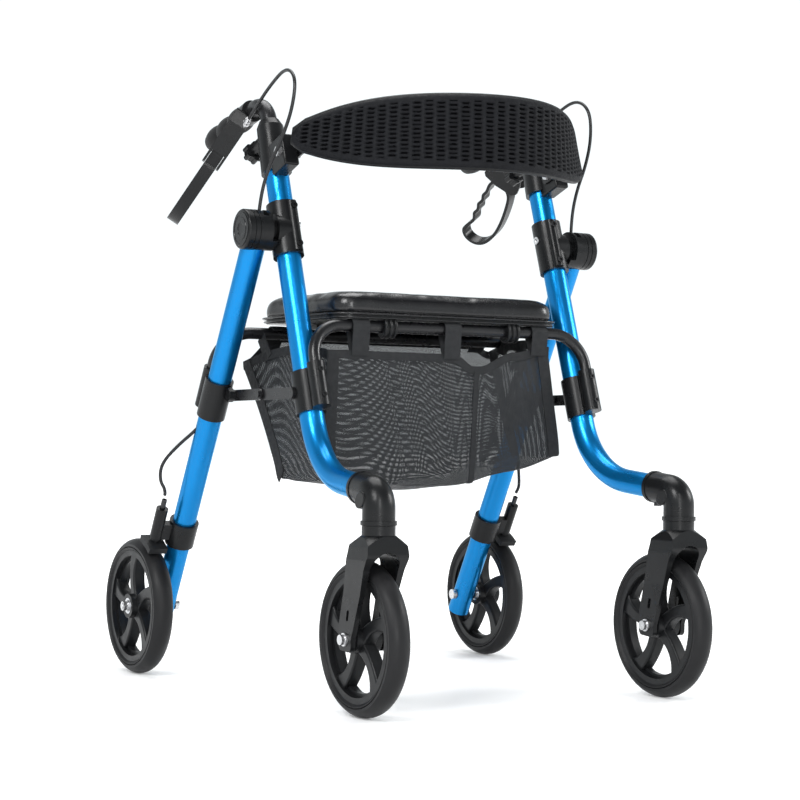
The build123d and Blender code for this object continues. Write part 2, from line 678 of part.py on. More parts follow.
def loop_outline(offset):
    """The lever's band line, moved sideways to one face of the band."""
    points = []
    count = len(LEVER_LOOP)
    for index, (x, y) in enumerate(LEVER_LOOP):
        before, after = LEVER_LOOP[index - 1], LEVER_LOOP[(index + 1) % count]
        run = Vector(after[0] - before[0], after[1] - before[1]).normalized()
        points.append((x + run.Y * offset, y - run.X * offset))
    return make_face(Spline(*points, periodic=True))


def brake_lever():
    """Thin flat band bent into a loop with finger waves, on a root that turns on the bracket's pin."""
    px, py = LEVER_PIVOT
    band = loop_outline(LEVER_BAND / 2) - loop_outline(-LEVER_BAND / 2)
    root_outline = [(px, py - 12), (56, 13), (60, 22), (60, 43), (px, py + 12)]
    root = make_face(Polyline(*root_outline, close=True)) + Pos(px, py) * Circle(12)
    body = extrude(band, LEVER_HALF, both=True) + extrude(root, LEVER_HALF - 0.4, both=True)
    return LEVER * (body - rod((px, py, -20), (px, py, 20), 3.06))


def height_knob():
    """Star knob whose screw locks the handle."""
    star = extrude(Circle(11.5), 13)
    for index in range(6):
        angle = radians(60 * index)
        star += Pos(11 * cos(angle), 11 * sin(angle), 0) * extrude(Circle(3.6), 13)
    star = Plane(origin=(0, 48, KNOB_S), z_dir=(0, 1, 0)) * star
    body = star + rod((0, 34.4, KNOB_S), (0, 48, KNOB_S), 8)
    return FRONT * (body + rod((0, 11.5, KNOB_S), (0, 48, KNOB_S), 4))


# ---------------------------------------------------------------- braces, seat, strap, basket
def brace_bar(start, end, x_low, x_high, rivet_x, rivet_side):
    """Flat bar with round ends and a rivet head at each end."""
    body = rod((x_low, *start), (x_high, *start), BRACE_HALF_WIDTH)
    body += rod((x_low, *end), (x_high, *end), BRACE_HALF_WIDTH)
    angle = atan2(end[1] - start[1], end[0] - start[0])
    dy, dz = BRACE_HALF_WIDTH * sin(angle), BRACE_HALF_WIDTH * cos(angle)
    outline = [
        (start[0] - dy, start[1] + dz),
        (end[0] - dy, end[1] + dz),
        (end[0] + dy, end[1] - dz),
        (start[0] + dy, start[1] - dz),
    ]
    body += slab(outline, x_low, x_high)
    far_x = rivet_x + rivet_side * BRACE_RIVET
    for point in (start, end):
        body += rod((rivet_x, *point), (far_x, *point), BRACE_RIVET_RADIUS)
    return body


def front_brace():
    inner = FRONT_BRACE_X[1]
    body = brace_bar(BRACE_FRONT, BRACE_MIDDLE, *FRONT_BRACE_X, inner, 0.01)
    body += rod((inner, *BRACE_MIDDLE), (inner + BRACE_RIVET + 0.1, *BRACE_MIDDLE), BRACE_RIVET_RADIUS)
    return body + rod((inner, *BRACE_FRONT), (inner + 3.7, *BRACE_FRONT), BRACE_PIN_RADIUS)


def rear_brace():
    outer = REAR_BRACE_X[0]
    body = brace_bar(BRACE_MIDDLE, BRACE_REAR, *REAR_BRACE_X, outer, -0.01)
    body += rod((outer, *BRACE_MIDDLE), (outer - BRACE_RIVET, *BRACE_MIDDLE), BRACE_RIVET_RADIUS)
    return body + rod((outer, *BRACE_REAR), (outer - 4.4, *BRACE_REAR), BRACE_PIN_RADIUS)


def seat_outline(inset):
    front, rear = SEAT_FRONT_HALF - inset, SEAT_REAR_HALF - inset
    y_front, y_rear = SEAT_FRONT_Y + inset, SEAT_REAR_Y - inset
    corners = [(-front, y_front), (front, y_front), (rear, y_rear), (-rear, y_rear)]
    return fillet(make_face(Polyline(*corners, close=True)).vertices(), 34 - inset)


def seat_pad():
    body = Pos(0, 0, SEAT_SPLIT) * extrude(seat_outline(0), SEAT_TOP - SEAT_SPLIT)
    return fillet(body.edges().group_by(Axis.Z)[-1], 10)


def seat_base():
    """Board under the pad, with two clips round the front cross tube and two rests at the back."""
    front_bar = FRONT.from_local_coords((0, -CROSS_TUBE_OFFSET, FRONT_BAR_S))
    rear_bar = REAR.from_local_coords((0, CROSS_TUBE_OFFSET, REAR_BAR_S))
    body = Pos(0, 0, SEAT_BOTTOM) * extrude(seat_outline(3), SEAT_SPLIT - SEAT_BOTTOM)
    for side in (-1, 1):
        x = side * SEAT_CLIP_X
        clip = rod((x - 9, front_bar.Y, front_bar.Z), (x + 9, front_bar.Y, front_bar.Z), 13)
        body += clip & block((x - 9, -140, 440), (x + 9, -60, SEAT_BOTTOM + 3))
        body -= rod((x - 12, front_bar.Y, front_bar.Z), (x + 12, front_bar.Y, front_bar.Z), 8.4)
        low = (x - 15, rear_bar.Y - 9, rear_bar.Z + 8.3)
        body += block(low, (x + 15, rear_bar.Y + 9, SEAT_BOTTOM + 2))
    return body


def strap_height(x):
    """Half-taper of the back strap's edges at a place across it."""
    return min(STRAP_TAPER * abs(x / STRAP_HALF) ** STRAP_TAPER_POWER, STRAP_TAPER_LIMIT)


def strap_plan(x, offset):
    """How far forward the strap bows at a place across it."""
    reach = x / STRAP_HALF
    slope = 2 * STRAP_BOW * reach / STRAP_HALF
    length = hypot(slope, 1)
    y = STRAP_END_Y - STRAP_BOW * (1 - reach * reach)
    return (x + offset * slope / length, y - offset / length)


def back_strap():
    steps = [STRAP_HALF * index / 8 for index in range(-8, 9)]
    front = [strap_plan(x, STRAP_THICKNESS / 2) for x in steps]
    back = [strap_plan(x, -STRAP_THICKNESS / 2) for x in reversed(steps)]
    plan = Spline(*front) + Line(front[-1], back[0]) + Spline(*back) + Line(back[-1], front[0])
    wall = Pos(0, 0, STRAP_BOTTOM - 5) * extrude(make_face(plan), STRAP_TOP - STRAP_BOTTOM + 10)
    wide = STRAP_HALF + 14
    across = [wide * index / 8 for index in range(-8, 9)]
    lower = [(x, STRAP_BOTTOM + strap_height(x)) for x in across]
    upper = [(x, STRAP_TOP - strap_height(x)) for x in reversed(across)]
    shape = Spline(*lower) + Line(lower[-1], upper[0]) + Spline(*upper) + Line(upper[-1], lower[0])
    mask = Plane.XZ * extrude(make_face(shape), 400, both=True)
    return wall & mask


def strap_plate():
    """Steel plate from the socket's pivot bolt to the end of the strap."""
    pivot = FRONT.from_local_coords((0, PIVOT_Y, PIVOT_S))
    x_low = -FRONT_LEG_X + 8.4
    end = (STRAP_END_Y - 2, (STRAP_TOP + STRAP_BOTTOM) / 2)
    outline = [
        (pivot.Y + 12, pivot.Z - 13),
        (pivot.Y + 12, pivot.Z + 10),
        (end[0] + 16, end[1] + 15),
        (end[0] - 14, end[1] + 15),
        (end[0] - 14, end[1] - 15),
        (end[0] + 16, end[1] - 17),
    ]
    plate = slab(outline, x_low, x_low + STRAP_PLATE, 5)
    return plate - rod((x_low - 1, pivot.Y, pivot.Z), (x_low + 4, pivot.Y, pivot.Z), 4.06)


def basket():
    """Open bag: one outline drawn right across, hollowed out from the top."""
    inner = [(y * 0.975 + 0.3, z + (0 if z > BASKET_RIM else BASKET_WALL)) for y, z in BASKET_PROFILE]
    inner[0] = (BASKET_PROFILE[0][0] + BASKET_WALL, BASKET_OPEN_TOP)
    inner[1] = (BASKET_PROFILE[1][0] - BASKET_WALL, BASKET_OPEN_TOP)
    shell = slab(BASKET_PROFILE, -BASKET_HALF, BASKET_HALF, 6)
    inside = slab(inner, -BASKET_HALF + BASKET_WALL, BASKET_HALF - BASKET_WALL, 4)
    return shell - inside


# ---------------------------------------------------------------- cables
def cable(points):
    radii = cord_radii(points)
    body = pipe(points, radii, CABLE_RADIUS)
    length = body.volume / (Circle(CABLE_RADIUS).area)
    print("cable length", round(length, 1), "radii", [round(radius, 1) for radius in radii])
    return body


# ---------------------------------------------------------------- write the parts
def without(body, cutters):
    """The body with room for the fasteners that sit in it."""
    for cutter in cutters:
        body -= cutter
    return body


def main():
    os.makedirs("parts", exist_ok=True)
    span_front = 2 * FRONT_LEG_X
    span_rear = 2 * REAR_LEG_X
    front_centre = (ELBOW.X, -AXLE_Y, AXLE_Z)
    rear_centre = (-REAR_WHEEL_X, AXLE_Y, AXLE_Z)

    front_screws = clamp_screws(FRONT, -1, FRONT_CLAMP_S)
    rear_screws = clamp_screws(REAR, 1, REAR_CLAMP_S)

    save_sides("front_leg", front_leg())
    save("front_cross_tube", cross_tube(FRONT, -1, span_front, FRONT_BAR_S, FRONT_CLAMP_S))
    save_sides("hinge_bracket", without(hinge_bracket(), bracket_fasteners()))
    save_pair("front_tube_clamps", without(front_clamp(), front_screws))
    save_pair("caster_elbows", without(caster_elbow(), elbow_screws()))
    save_pair("caster_bearings", *caster_bearings())
    save_pair("caster_bearing_covers", caster_cover())
    save_sides("height_socket", height_socket())
    fasteners = bracket_fasteners() + front_screws + elbow_screws()
    save_pair("front_frame_fasteners", *fasteners, hinge_bolt(), strap_pivot_bolt())

    save_sides("rear_leg", rear_leg())
    save("rear_cross_tube", cross_tube(REAR, 1, span_rear, REAR_BAR_S, REAR_CLAMP_S))
    save_sides("rear_hinge_drum", rear_hinge())
    save_pair("rear_hinge_caps", rear_hinge_cap())
    save_pair("rear_tube_clamps", without(rear_clamp(), rear_screws))
    save_pair("rear_frame_fasteners", *rear_screws, cable_ferrule())
    save_pair("brake_housings", brake_housing())
    save_pair("rear_axle_bolts", rear_axle())

    save_sides("brake_shoe", brake_shoe())
    save_sides("rear_tyre", tyre(rear_centre))
    save_sides("rear_rim", rim(rear_centre))
    save_sides("front_tyre", tyre(front_centre))
    save_sides("front_rim", rim(front_centre))
    for name, centre in (("rear_wheel_bearings", rear_centre), ("front_wheel_bearings", front_centre)):
        rings = wheel_bearings(centre)
        save(f"right_{name}", *rings)
        save(f"left_{name}", *[flip(ring) for ring in rings])
    save_sides("caster_fork", caster_fork())
    save_sides("front_axle_bolt", front_axle())

    save_sides("handle_tube", handle_tube())
    save_sides("grip", grip())
    save_sides("lever_bracket", lever_bracket())
    save_sides("brake_lever", brake_lever())
    save_sides("height_knob", height_knob())

    save_pair("front_braces", front_brace())
    save_pair("rear_braces", rear_brace())
    save("seat_pad", seat_pad())
    save("seat_base", seat_base())
    save("back_strap", without(back_strap(), [strap_plate(), flip(strap_plate())]))
    save_pair("back_strap_plates", strap_plate())
    save("basket", basket())
    save_sides("upper_brake_cable", cable(UPPER_CABLE))
    save_pair("lower_brake_cables", cable(LOWER_CABLE))


main()
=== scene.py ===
"""Looks for the rollator walker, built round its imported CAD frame.

The user's left is +X, the walker goes towards -Y, and +Z is up. Shapes are written in
millimetres and scaled by MM; the camera, the lamps and the floor are in metres.
"""

import json
import math

import bpy
from mathutils import Matrix, Vector


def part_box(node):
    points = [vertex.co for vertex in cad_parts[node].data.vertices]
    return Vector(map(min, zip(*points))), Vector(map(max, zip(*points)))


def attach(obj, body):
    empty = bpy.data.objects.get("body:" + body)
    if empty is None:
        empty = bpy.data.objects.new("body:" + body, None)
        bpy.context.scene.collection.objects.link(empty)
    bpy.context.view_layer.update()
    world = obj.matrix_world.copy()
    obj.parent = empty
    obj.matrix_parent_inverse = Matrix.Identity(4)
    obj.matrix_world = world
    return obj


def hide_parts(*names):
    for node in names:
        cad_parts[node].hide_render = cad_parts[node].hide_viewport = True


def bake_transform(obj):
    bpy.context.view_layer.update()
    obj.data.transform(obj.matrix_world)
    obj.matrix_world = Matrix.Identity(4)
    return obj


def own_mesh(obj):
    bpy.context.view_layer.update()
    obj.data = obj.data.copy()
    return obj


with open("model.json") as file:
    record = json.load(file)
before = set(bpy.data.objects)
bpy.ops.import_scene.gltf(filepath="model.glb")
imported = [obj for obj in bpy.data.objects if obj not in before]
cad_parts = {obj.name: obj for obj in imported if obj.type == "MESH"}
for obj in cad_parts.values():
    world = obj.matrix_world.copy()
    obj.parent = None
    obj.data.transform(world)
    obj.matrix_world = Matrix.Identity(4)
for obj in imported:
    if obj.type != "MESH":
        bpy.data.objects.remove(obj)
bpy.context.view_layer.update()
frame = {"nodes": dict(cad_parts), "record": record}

MM = 0.001
SIDES = {"right": -1, "left": 1}


def clamp(value):
    """A value held between 0 and 1."""
    return min(max(value, 0), 1)


def ease(share):
    """0 to 1 with a soft start and a soft end."""
    return share * share * (3 - 2 * share)


# ------------------------------------------------------------------ camera, light and floor
CAMERA_ANGLES = (-30.20, -0.95, 0.61)
CAMERA_PLACE = (-1.4114, -2.3881, 0.3423)
CAMERA_LENS = 90.75
SENSOR_WIDTH = 36.0
CLIP_END = 60
FLOOR_RADIUS = 30
FLOOR_GLOW = (0.4, 2.2, 0.16, 0.8)
WORLD_COLOR = (0.93, 0.98, 1.0, 1)
WORLD_RANGE = (0.3, 0.62, 1.1, 0.3)
LAMP_TARGET = (0, 0, 0.4)
LAMPS = [
    # name, place, width, power in watts, height (None for a square lamp)
    ("key", (-2.6, -1.6, 2.6), 1.2, 95, None),
    ("strip", (-1.2, -3.0, 1.3), 0.3, 44, 2.2),
    ("fill", (2.8, -1.2, 1.6), 1.0, 48, None),
    ("top", (0.2, 0.6, 3.0), 2.0, 75, None),
]


def camera_axes(azimuth, elevation, roll):
    """Axes of a camera that looks along +Y at azimuth 0; angles in degrees."""
    az, el, ro = (math.radians(angle) for angle in (azimuth, elevation, roll))
    right = Vector((math.cos(az), math.sin(az), 0))
    back = Vector((math.sin(az) * math.cos(el), -math.cos(az) * math.cos(el), math.sin(el)))
    up = back.cross(right)
    turned_right = math.cos(ro) * right + math.sin(ro) * up
    turned_up = -math.sin(ro) * right + math.cos(ro) * up
    return Matrix((turned_right, turned_up, back)).transposed()


def make_camera():
    data = bpy.data.cameras.new("camera")
    data.lens = CAMERA_LENS
    data.sensor_width = SENSOR_WIDTH
    data.clip_end = CLIP_END
    camera = bpy.data.objects.new("camera", data)
    bpy.context.scene.collection.objects.link(camera)
    camera.matrix_world = camera_axes(*CAMERA_ANGLES).to_4x4()
    camera.location = CAMERA_PLACE
    bpy.context.scene.camera = camera


def area_light(name, location, width, power, height):
    data = bpy.data.lights.new(name, "AREA")
    data.energy = power
    data.size = width
    if height:
        data.shape = "RECTANGLE"
        data.size_y = height
    lamp = bpy.data.objects.new(name, data)
    bpy.context.scene.collection.objects.link(lamp)
    lamp.location = location
    aim = Vector(LAMP_TARGET) - Vector(location)
    lamp.rotation_euler = aim.to_track_quat("-Z", "Y").to_euler()


def set_range(node, numbers):
    """Fill in a Map Range node: lowest and highest input, then the outputs for them."""
    for name, number in zip(("From Min", "From Max", "To Min", "To Max"), numbers):
        node.inputs[name].default_value = number


def make_world():
    """Pale surroundings that are darker overhead."""
    world = bpy.data.worlds.new("studio")
    world.use_nodes = True
    tree = world.node_tree
    background = tree.nodes["Background"]
    background.inputs["Color"].default_value = WORLD_COLOR
    direction = tree.nodes.new("ShaderNodeTexCoord")
    split = tree.nodes.new("ShaderNodeSeparateXYZ")
    dome = tree.nodes.new("ShaderNodeMapRange")
    set_range(dome, WORLD_RANGE)
    tree.links.new(direction.outputs["Generated"], split.inputs["Vector"])
    tree.links.new(split.outputs["Z"], dome.inputs["Value"])
    tree.links.new(dome.outputs["Result"], background.inputs["Strength"])
    bpy.context.scene.world = world


def make_stage():
    make_world()
    bpy.context.scene.view_settings.view_transform = "Standard"
    bpy.ops.mesh.primitive_circle_add(vertices=96, radius=FLOOR_RADIUS, fill_type="NGON")
    floor = bpy.context.object
    floor.name = "floor"
    floor.data.materials.append(floor_material())
    for name, place, width, power, height in LAMPS:
        area_light(name, place, width, power, height)


# ------------------------------------------------------------------ materials
NOISE_BAND = (0.3, 0.7)
ALONG_Z = (1, 1, 0.1)
DRAWN_TUBE = (1, 1, 0.05)
# sockets of the Mix node that hold colours
MIX_FACTOR, MIX_FIRST, MIX_SECOND, MIX_RESULT = 0, 6, 7, 2


class Shader:
    """A Principled material with short calls for the nodes that vary it."""

    def __init__(self, name, **values):
        self.material = bpy.data.materials.new(name)
        self.material.use_nodes = True
        self.tree = self.material.node_tree
        self.shader = self.tree.nodes["Principled BSDF"]
        for key, value in values.items():
            self.shader.inputs[key.replace("_", " ").title().replace("Ior", "IOR")].default_value = value
        self.coordinates = self.tree.nodes.new("ShaderNodeTexCoord")

    def node(self, kind, **values):
        node = self.tree.nodes.new(kind)
        for key, value in values.items():
            setattr(node, key, value)
        return node

    def link(self, output, target):
        self.tree.links.new(output, target)

    def place(self, stretch=(1, 1, 1), space="Object"):
        mapping = self.node("ShaderNodeMapping")
        mapping.inputs["Scale"].default_value = stretch
        self.link(self.coordinates.outputs[space], mapping.inputs["Vector"])
        return mapping.outputs["Vector"]

    def noise(self, scale, detail=3.0, rough=0.5, stretch=(1, 1, 1)):
        node = self.node("ShaderNodeTexNoise")
        node.inputs["Scale"].default_value = scale
        node.inputs["Detail"].default_value = detail
        node.inputs["Roughness"].default_value = rough
        self.link(self.place(stretch), node.inputs["Vector"])
        return node.outputs["Fac"]

    def cells(self, scale):
        node = self.node("ShaderNodeTexVoronoi", feature="F1")
        node.inputs["Scale"].default_value = scale
        self.link(self.place(), node.inputs["Vector"])
        return node.outputs["Distance"]

    def waves(self, scale, axis="X", space="Object"):
        node = self.node("ShaderNodeTexWave", bands_direction=axis, wave_profile="SIN")
        node.inputs["Scale"].default_value = scale
        node.inputs["Distortion"].default_value = 0.0
        self.link(self.place(space=space), node.inputs["Vector"])
        return node.outputs["Fac"]

    def math(self, operation, first, second):
        node = self.node("ShaderNodeMath", operation=operation)
        for socket, value in zip(node.inputs, (first, second)):
            if isinstance(value, (int, float)):
                socket.default_value = value
            else:
                self.link(value, socket)
        return node.outputs[0]

    def span(self, value, numbers):
        node = self.node("ShaderNodeMapRange")
        set_range(node, numbers)
        self.link(value, node.inputs["Value"])
        return node.outputs["Result"]

    def color(self, factor, first, second):
        """Base colour, blended from the first to the second."""
        node = self.node("ShaderNodeMix", data_type="RGBA")
        self.link(factor, node.inputs[MIX_FACTOR])
        node.inputs[MIX_FIRST].default_value = (*first, 1)
        node.inputs[MIX_SECOND].default_value = (*second, 1)
        self.link(node.outputs[MIX_RESULT], self.shader.inputs["Base Color"])

    def roughness(self, noise, low, high):
        self.link(self.span(noise, (*NOISE_BAND, low, high)), self.shader.inputs["Roughness"])

    def bump(self, height, distance, strength=1.0, under=None):
        node = self.node("ShaderNodeBump")
        node.inputs["Distance"].default_value = distance
        node.inputs["Strength"].default_value = strength
        self.link(height, node.inputs["Height"])
        if under:
            self.link(under, node.inputs["Normal"])
        self.link(node.outputs["Normal"], self.shader.inputs["Normal"])
        return node.outputs["Normal"]


def floor_material():
    """White studio sheet: it glows a little more with distance, so it has no far edge."""
    floor = Shader("floor", roughness=0.5, emission_color=(1, 1, 1, 1))
    floor.color(floor.noise(2.0), (0.84, 0.84, 0.85), (0.88, 0.88, 0.88))
    away = floor.node("ShaderNodeVectorMath", operation="LENGTH")
    floor.link(floor.place(), away.inputs[0])
    glow = floor.span(away.outputs["Value"], FLOOR_GLOW)
    floor.link(glow, floor.shader.inputs["Emission Strength"])
    return floor.material


def blue_paint():
    """Anodised-looking metallic lacquer with a fine flake."""
    paint = Shader("blue_paint", metallic=0.8, coat_weight=0.15, coat_roughness=0.06)
    paint.shader.inputs["Specular Tint"].default_value = (0.35, 0.8, 1.0, 1)
    paint.color(paint.noise(9.0), (0.0028, 0.158, 0.420), (0.0036, 0.186, 0.480))
    paint.roughness(paint.noise(60.0, 4.0), 0.27, 0.33)
    paint.bump(paint.noise(2600.0, 2.0), 0.00001, 0.3)
    return paint.material


def moulded(name, tone=0.0042, low=0.25, high=0.36, grain=1400.0, depth=0.00005):
    """Moulded nylon: fine spark-eroded grain, slightly polished in patches."""
    plastic = Shader(name, specular_ior_level=0.2)
    lighter = tuple(tone * factor for factor in (1.4, 1.55, 1.75))
    plastic.color(plastic.noise(28.0, 4.0), (tone, tone, tone * 1.04), lighter)
    plastic.roughness(plastic.noise(60.0, 5.0), low, high)
    flow = plastic.bump(plastic.noise(18.0, 1.0), 0.0003, 0.2)
    plastic.bump(plastic.noise(grain, 2.0), depth, 0.6, flow)
    return plastic.material


def powder_coat():
    """Satin black powder coat with a faint orange peel."""
    coat = Shader("powder_coat", specular_ior_level=0.25, coat_weight=0.15, coat_roughness=0.2)
    coat.color(coat.noise(40.0), (0.0035, 0.0035, 0.004), (0.007, 0.007, 0.008))
    coat.roughness(coat.noise(120.0, 4.0), 0.24, 0.36)
    coat.bump(coat.noise(520.0, 2.0), 0.0001, 0.4)
    return coat.material


def anodised():
    """Black anodised tube with fine lines along its length."""
    tube = Shader("anodised_black", metallic=0.6)
    tube.color(tube.noise(30.0), (0.012, 0.012, 0.013), (0.026, 0.026, 0.028))
    tube.roughness(tube.noise(300.0, 3.0, stretch=DRAWN_TUBE), 0.26, 0.4)
    tube.bump(tube.noise(900.0, 2.0, stretch=DRAWN_TUBE), 0.00004, 0.4)
    return tube.material


def grip_rubber():
    """Matt rubber with small closed pores."""
    rubber = Shader("grip_rubber", specular_ior_level=0.16, sheen_weight=0.04, sheen_roughness=0.5)
    rubber.color(rubber.noise(35.0, 4.0), (0.0055, 0.0055, 0.006), (0.010, 0.010, 0.0105))
    rubber.roughness(rubber.noise(80.0, 4.0), 0.55, 0.72)
    rubber.bump(rubber.cells(850.0), 0.0003, 0.5)
    return rubber.material


def tyre_rubber():
    """Dull rubber, a little dusty, with very fine moulding rings."""
    rubber = Shader("tyre_rubber", specular_ior_level=0.19)
    rubber.color(rubber.noise(16.0, 6.0, 0.65), (0.0055, 0.0055, 0.006), (0.011, 0.011, 0.012))
    rubber.roughness(rubber.noise(45.0, 5.0), 0.4, 0.55)
    pores = rubber.bump(rubber.noise(900.0, 3.0), 0.0001, 0.5)
    rubber.bump(rubber.waves(110.0), 0.00015, 0.12, pores)
    return rubber.material


def vinyl():
    """Smooth upholstery vinyl with a fine leather grain."""
    skin = Shader("seat_vinyl", specular_ior_level=0.32, coat_weight=0.1, coat_roughness=0.2)
    skin.color(skin.noise(22.0, 4.0), (0.0035, 0.0035, 0.004), (0.007, 0.007, 0.008))
    skin.roughness(skin.noise(70.0, 4.0), 0.2, 0.3)
    grain = skin.bump(skin.cells(520.0), 0.0003, 0.28)
    skin.bump(skin.noise(26.0, 2.0), 0.0009, 0.22, grain)
    return skin.material


def knit(name, level, tone):
    """Knitted spacer mesh: the cells are pressed into the surface, and this is the yarn; its near-black
    copy is painted shade for the cell floors.
    """
    yarn = Shader(name, specular_ior_level=level)
    lighter = tuple(channel * 2.2 for channel in tone)
    yarn.color(yarn.noise(90.0, 4.0), tone, lighter)
    yarn.roughness(yarn.noise(200.0), 0.55, 0.75)
    weave = yarn.math("MULTIPLY", yarn.waves(420.0, "X"), yarn.waves(420.0, "Z"))
    yarn.bump(weave, 0.0003, 0.5)
    return yarn.material


def binding():
    """Narrow woven tape."""
    tape = Shader("binding_tape", specular_ior_level=0.2)
    tape.color(tape.noise(50.0, 4.0), (0.009, 0.0095, 0.0105), (0.016, 0.017, 0.0185))
    tape.roughness(tape.noise(150.0), 0.6, 0.8)
    ribs = tape.math("MULTIPLY", tape.waves(260.0, "X", "UV"), tape.waves(260.0, "Y", "UV"))
    tape.bump(ribs, 0.0005, 0.6)
    return tape.material


def mesh_cloth(pitch=0.0014, thread_level=0.6):
    """Fine net: round threads with real see-through holes between them."""
    cloth = Shader("basket_mesh", specular_ior_level=0.25)
    cloth.color(cloth.noise(30.0, 4.0), (0.008, 0.009, 0.010), (0.018, 0.0195, 0.022))
    cloth.roughness(cloth.noise(90.0), 0.45, 0.7)
    scale = math.pi / (10 * pitch)
    across = cloth.waves(scale, "X", "UV")
    along = cloth.waves(scale, "Y", "UV")
    hole = cloth.math("MULTIPLY", across, along)
    solid = cloth.math("LESS_THAN", hole, thread_level)
    cloth.link(solid, cloth.shader.inputs["Alpha"])
    cloth.bump(hole, 0.0004, 0.6)
    return cloth.material


def metal(name, tone, low, high):
    """Bare or plated metal with short fine scratches; low and high are its roughness."""
    plate = Shader(name, metallic=1.0)
    darker = tuple(channel * 0.8 for channel in tone)
    plate.color(plate.noise(120.0, 4.0), darker, tone)
    plate.roughness(plate.noise(500.0, 3.0, stretch=ALONG_Z), low, high)
    plate.bump(plate.noise(1100.0, 2.0, stretch=ALONG_Z), 0.00004, 0.4)
    return plate.material


def sheath():
    """Extruded cable cover."""
    cover = Shader("cable_sheath", specular_ior_level=0.35)
    cover.color(cover.noise(60.0), (0.003, 0.003, 0.0035), (0.006, 0.006, 0.007))
    cover.roughness(cover.noise(200.0), 0.3, 0.45)
    cover.bump(cover.noise(700.0), 0.00006, 0.4)
    return cover.material


def make_materials():
    return {
        "blue_paint": blue_paint(),
        "black_metal": powder_coat(),
        "black_plastic": moulded("black_nylon"),
        "gloss_black": moulded("polished_nylon", 0.005, 0.2, 0.3, 900.0, 0.00003),
        "wheel_plastic": moulded("wheel_nylon", 0.0055, 0.3, 0.44, 1100.0),
        "dark_steel": metal("blackened_steel", (0.05, 0.05, 0.052), 0.25, 0.4),
        "steel": metal("zinc_steel", (0.62, 0.62, 0.63), 0.22, 0.4),
        "chrome": metal("bright_chrome", (0.82, 0.82, 0.83), 0.08, 0.18),
        "bearing_steel": metal("ground_steel", (0.55, 0.56, 0.58), 0.2, 0.32),
        "alloy_tube": anodised(),
        "grip_rubber": grip_rubber(),
        "tyre_rubber": tyre_rubber(),
        "brake_rubber": moulded("brake_rubber", 0.007, 0.5, 0.65, 700.0, 0.0001),
        "mesh_fabric": knit("knit_mesh", 0.1, (0.0035, 0.0037, 0.0045)),
        # painted shade: a near-black knit for the floors of the strap's cells
        "mesh_painted_shade": knit("knit_painted_shade", 0.02, (0.0006, 0.0006, 0.0008)),
        "binding": binding(),
        "binding_smooth": moulded("binding_smooth", 0.005, 0.45, 0.6, 600.0, 0.0001),
        "seat_vinyl": vinyl(),
        "cable_sheath": sheath(),
        "basket_cloth": mesh_cloth(),
    }


# screws that stay bright, on the left side and mirrored; the reach round each is in metres
BRIGHT_SCREWS = [(190, -24, 617), (214, -28, 709), (196, -28, 709)]
BRIGHT_REACH = 0.026


def blacken(node, materials, bright_places):
    """Screws are black except near the places given, which keep bright zinc."""
    mesh = frame["nodes"][node].data
    mesh.materials.clear()
    mesh.materials.append(materials["dark_steel"])
    mesh.materials.append(materials["steel"])
    for face in mesh.polygons:
        centre = Vector((abs(face.center.x), face.center.y, face.center.z))
        bright = any((centre - Vector(place) * MM).length < BRIGHT_REACH for place in bright_places)
        face.material_index = int(bright)


def dress_cad_nodes(materials):
    """Every CAD node takes the finished material of its record slot."""
    slot_of = {entry["node"]: entry["material_slot"] for entry in frame["record"]["subparts"]}
    for name, obj in frame["nodes"].items():
        slot = slot_of[name]
        if name.endswith("_rim"):
            slot = "wheel_plastic"
        for material_slot in obj.material_slots:
            material_slot.material = materials[slot]


# ------------------------------------------------------------------ mesh helpers
def make_piece(name, points, faces, material, body):
    """A smooth mesh from points in millimetres, riding on a CAD body if one is given."""
    mesh = bpy.data.meshes.new(name)
    mesh.from_pydata([Vector(point) * MM for point in points], [], faces)
    mesh.validate()
    mesh.update()
    piece = bpy.data.objects.new(name, mesh)
    bpy.context.scene.collection.objects.link(piece)
    mesh.materials.append(material)
    mesh.shade_smooth()
    if body:
        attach(piece, body)
    return piece


def grid_faces(rows, columns, close_rows=False, close_columns=False):
    """Quads between points that were made row by row."""
    faces = []
    for i in range(rows if close_rows else rows - 1):
        for j in range(columns if close_columns else columns - 1):
            row, next_row = i * columns, ((i + 1) % rows) * columns
            next_j = (j + 1) % columns
            faces.append((row + j, row + next_j, next_row + next_j, next_row + j))
    return faces


def add_uv(piece, values):
    """values holds one (u, v) in metres for each vertex."""
    layer = piece.data.uv_layers.new(name="UVMap")
    for loop in piece.data.loops:
        layer.data[loop.index].uv = values[loop.vertex_index]


def apply_modifiers(piece):
    """Make the modifiers' result the piece's own mesh."""
    graph = bpy.context.evaluated_depsgraph_get()
    mesh = bpy.data.meshes.new_from_object(piece.evaluated_get(graph))
    piece.modifiers.clear()
    piece.data = mesh
    return piece


def thicken(piece, thickness):
    modifier = piece.modifiers.new("thickness", "SOLIDIFY")
    modifier.thickness = thickness * MM
    modifier.offset = 0
    return apply_modifiers(piece)


def frames_along(path):
    """A tangent, side and up at each point of a path, turning as little as possible."""
    frames = []
    side = None
    for index, point in enumerate(path):
        ahead = path[min(index + 1, len(path) - 1)] - path[max(index - 1, 0)]
        tangent = ahead.normalized()
        if side is None:
            hint = Vector((0, 0, 1)) if abs(tangent.z) < 0.9 else Vector((1, 0, 0))
            side = tangent.cross(hint).normalized()
        side = (side - tangent * side.dot(tangent)).normalized()
        frames.append((point, tangent, side, tangent.cross(side)))
    return frames


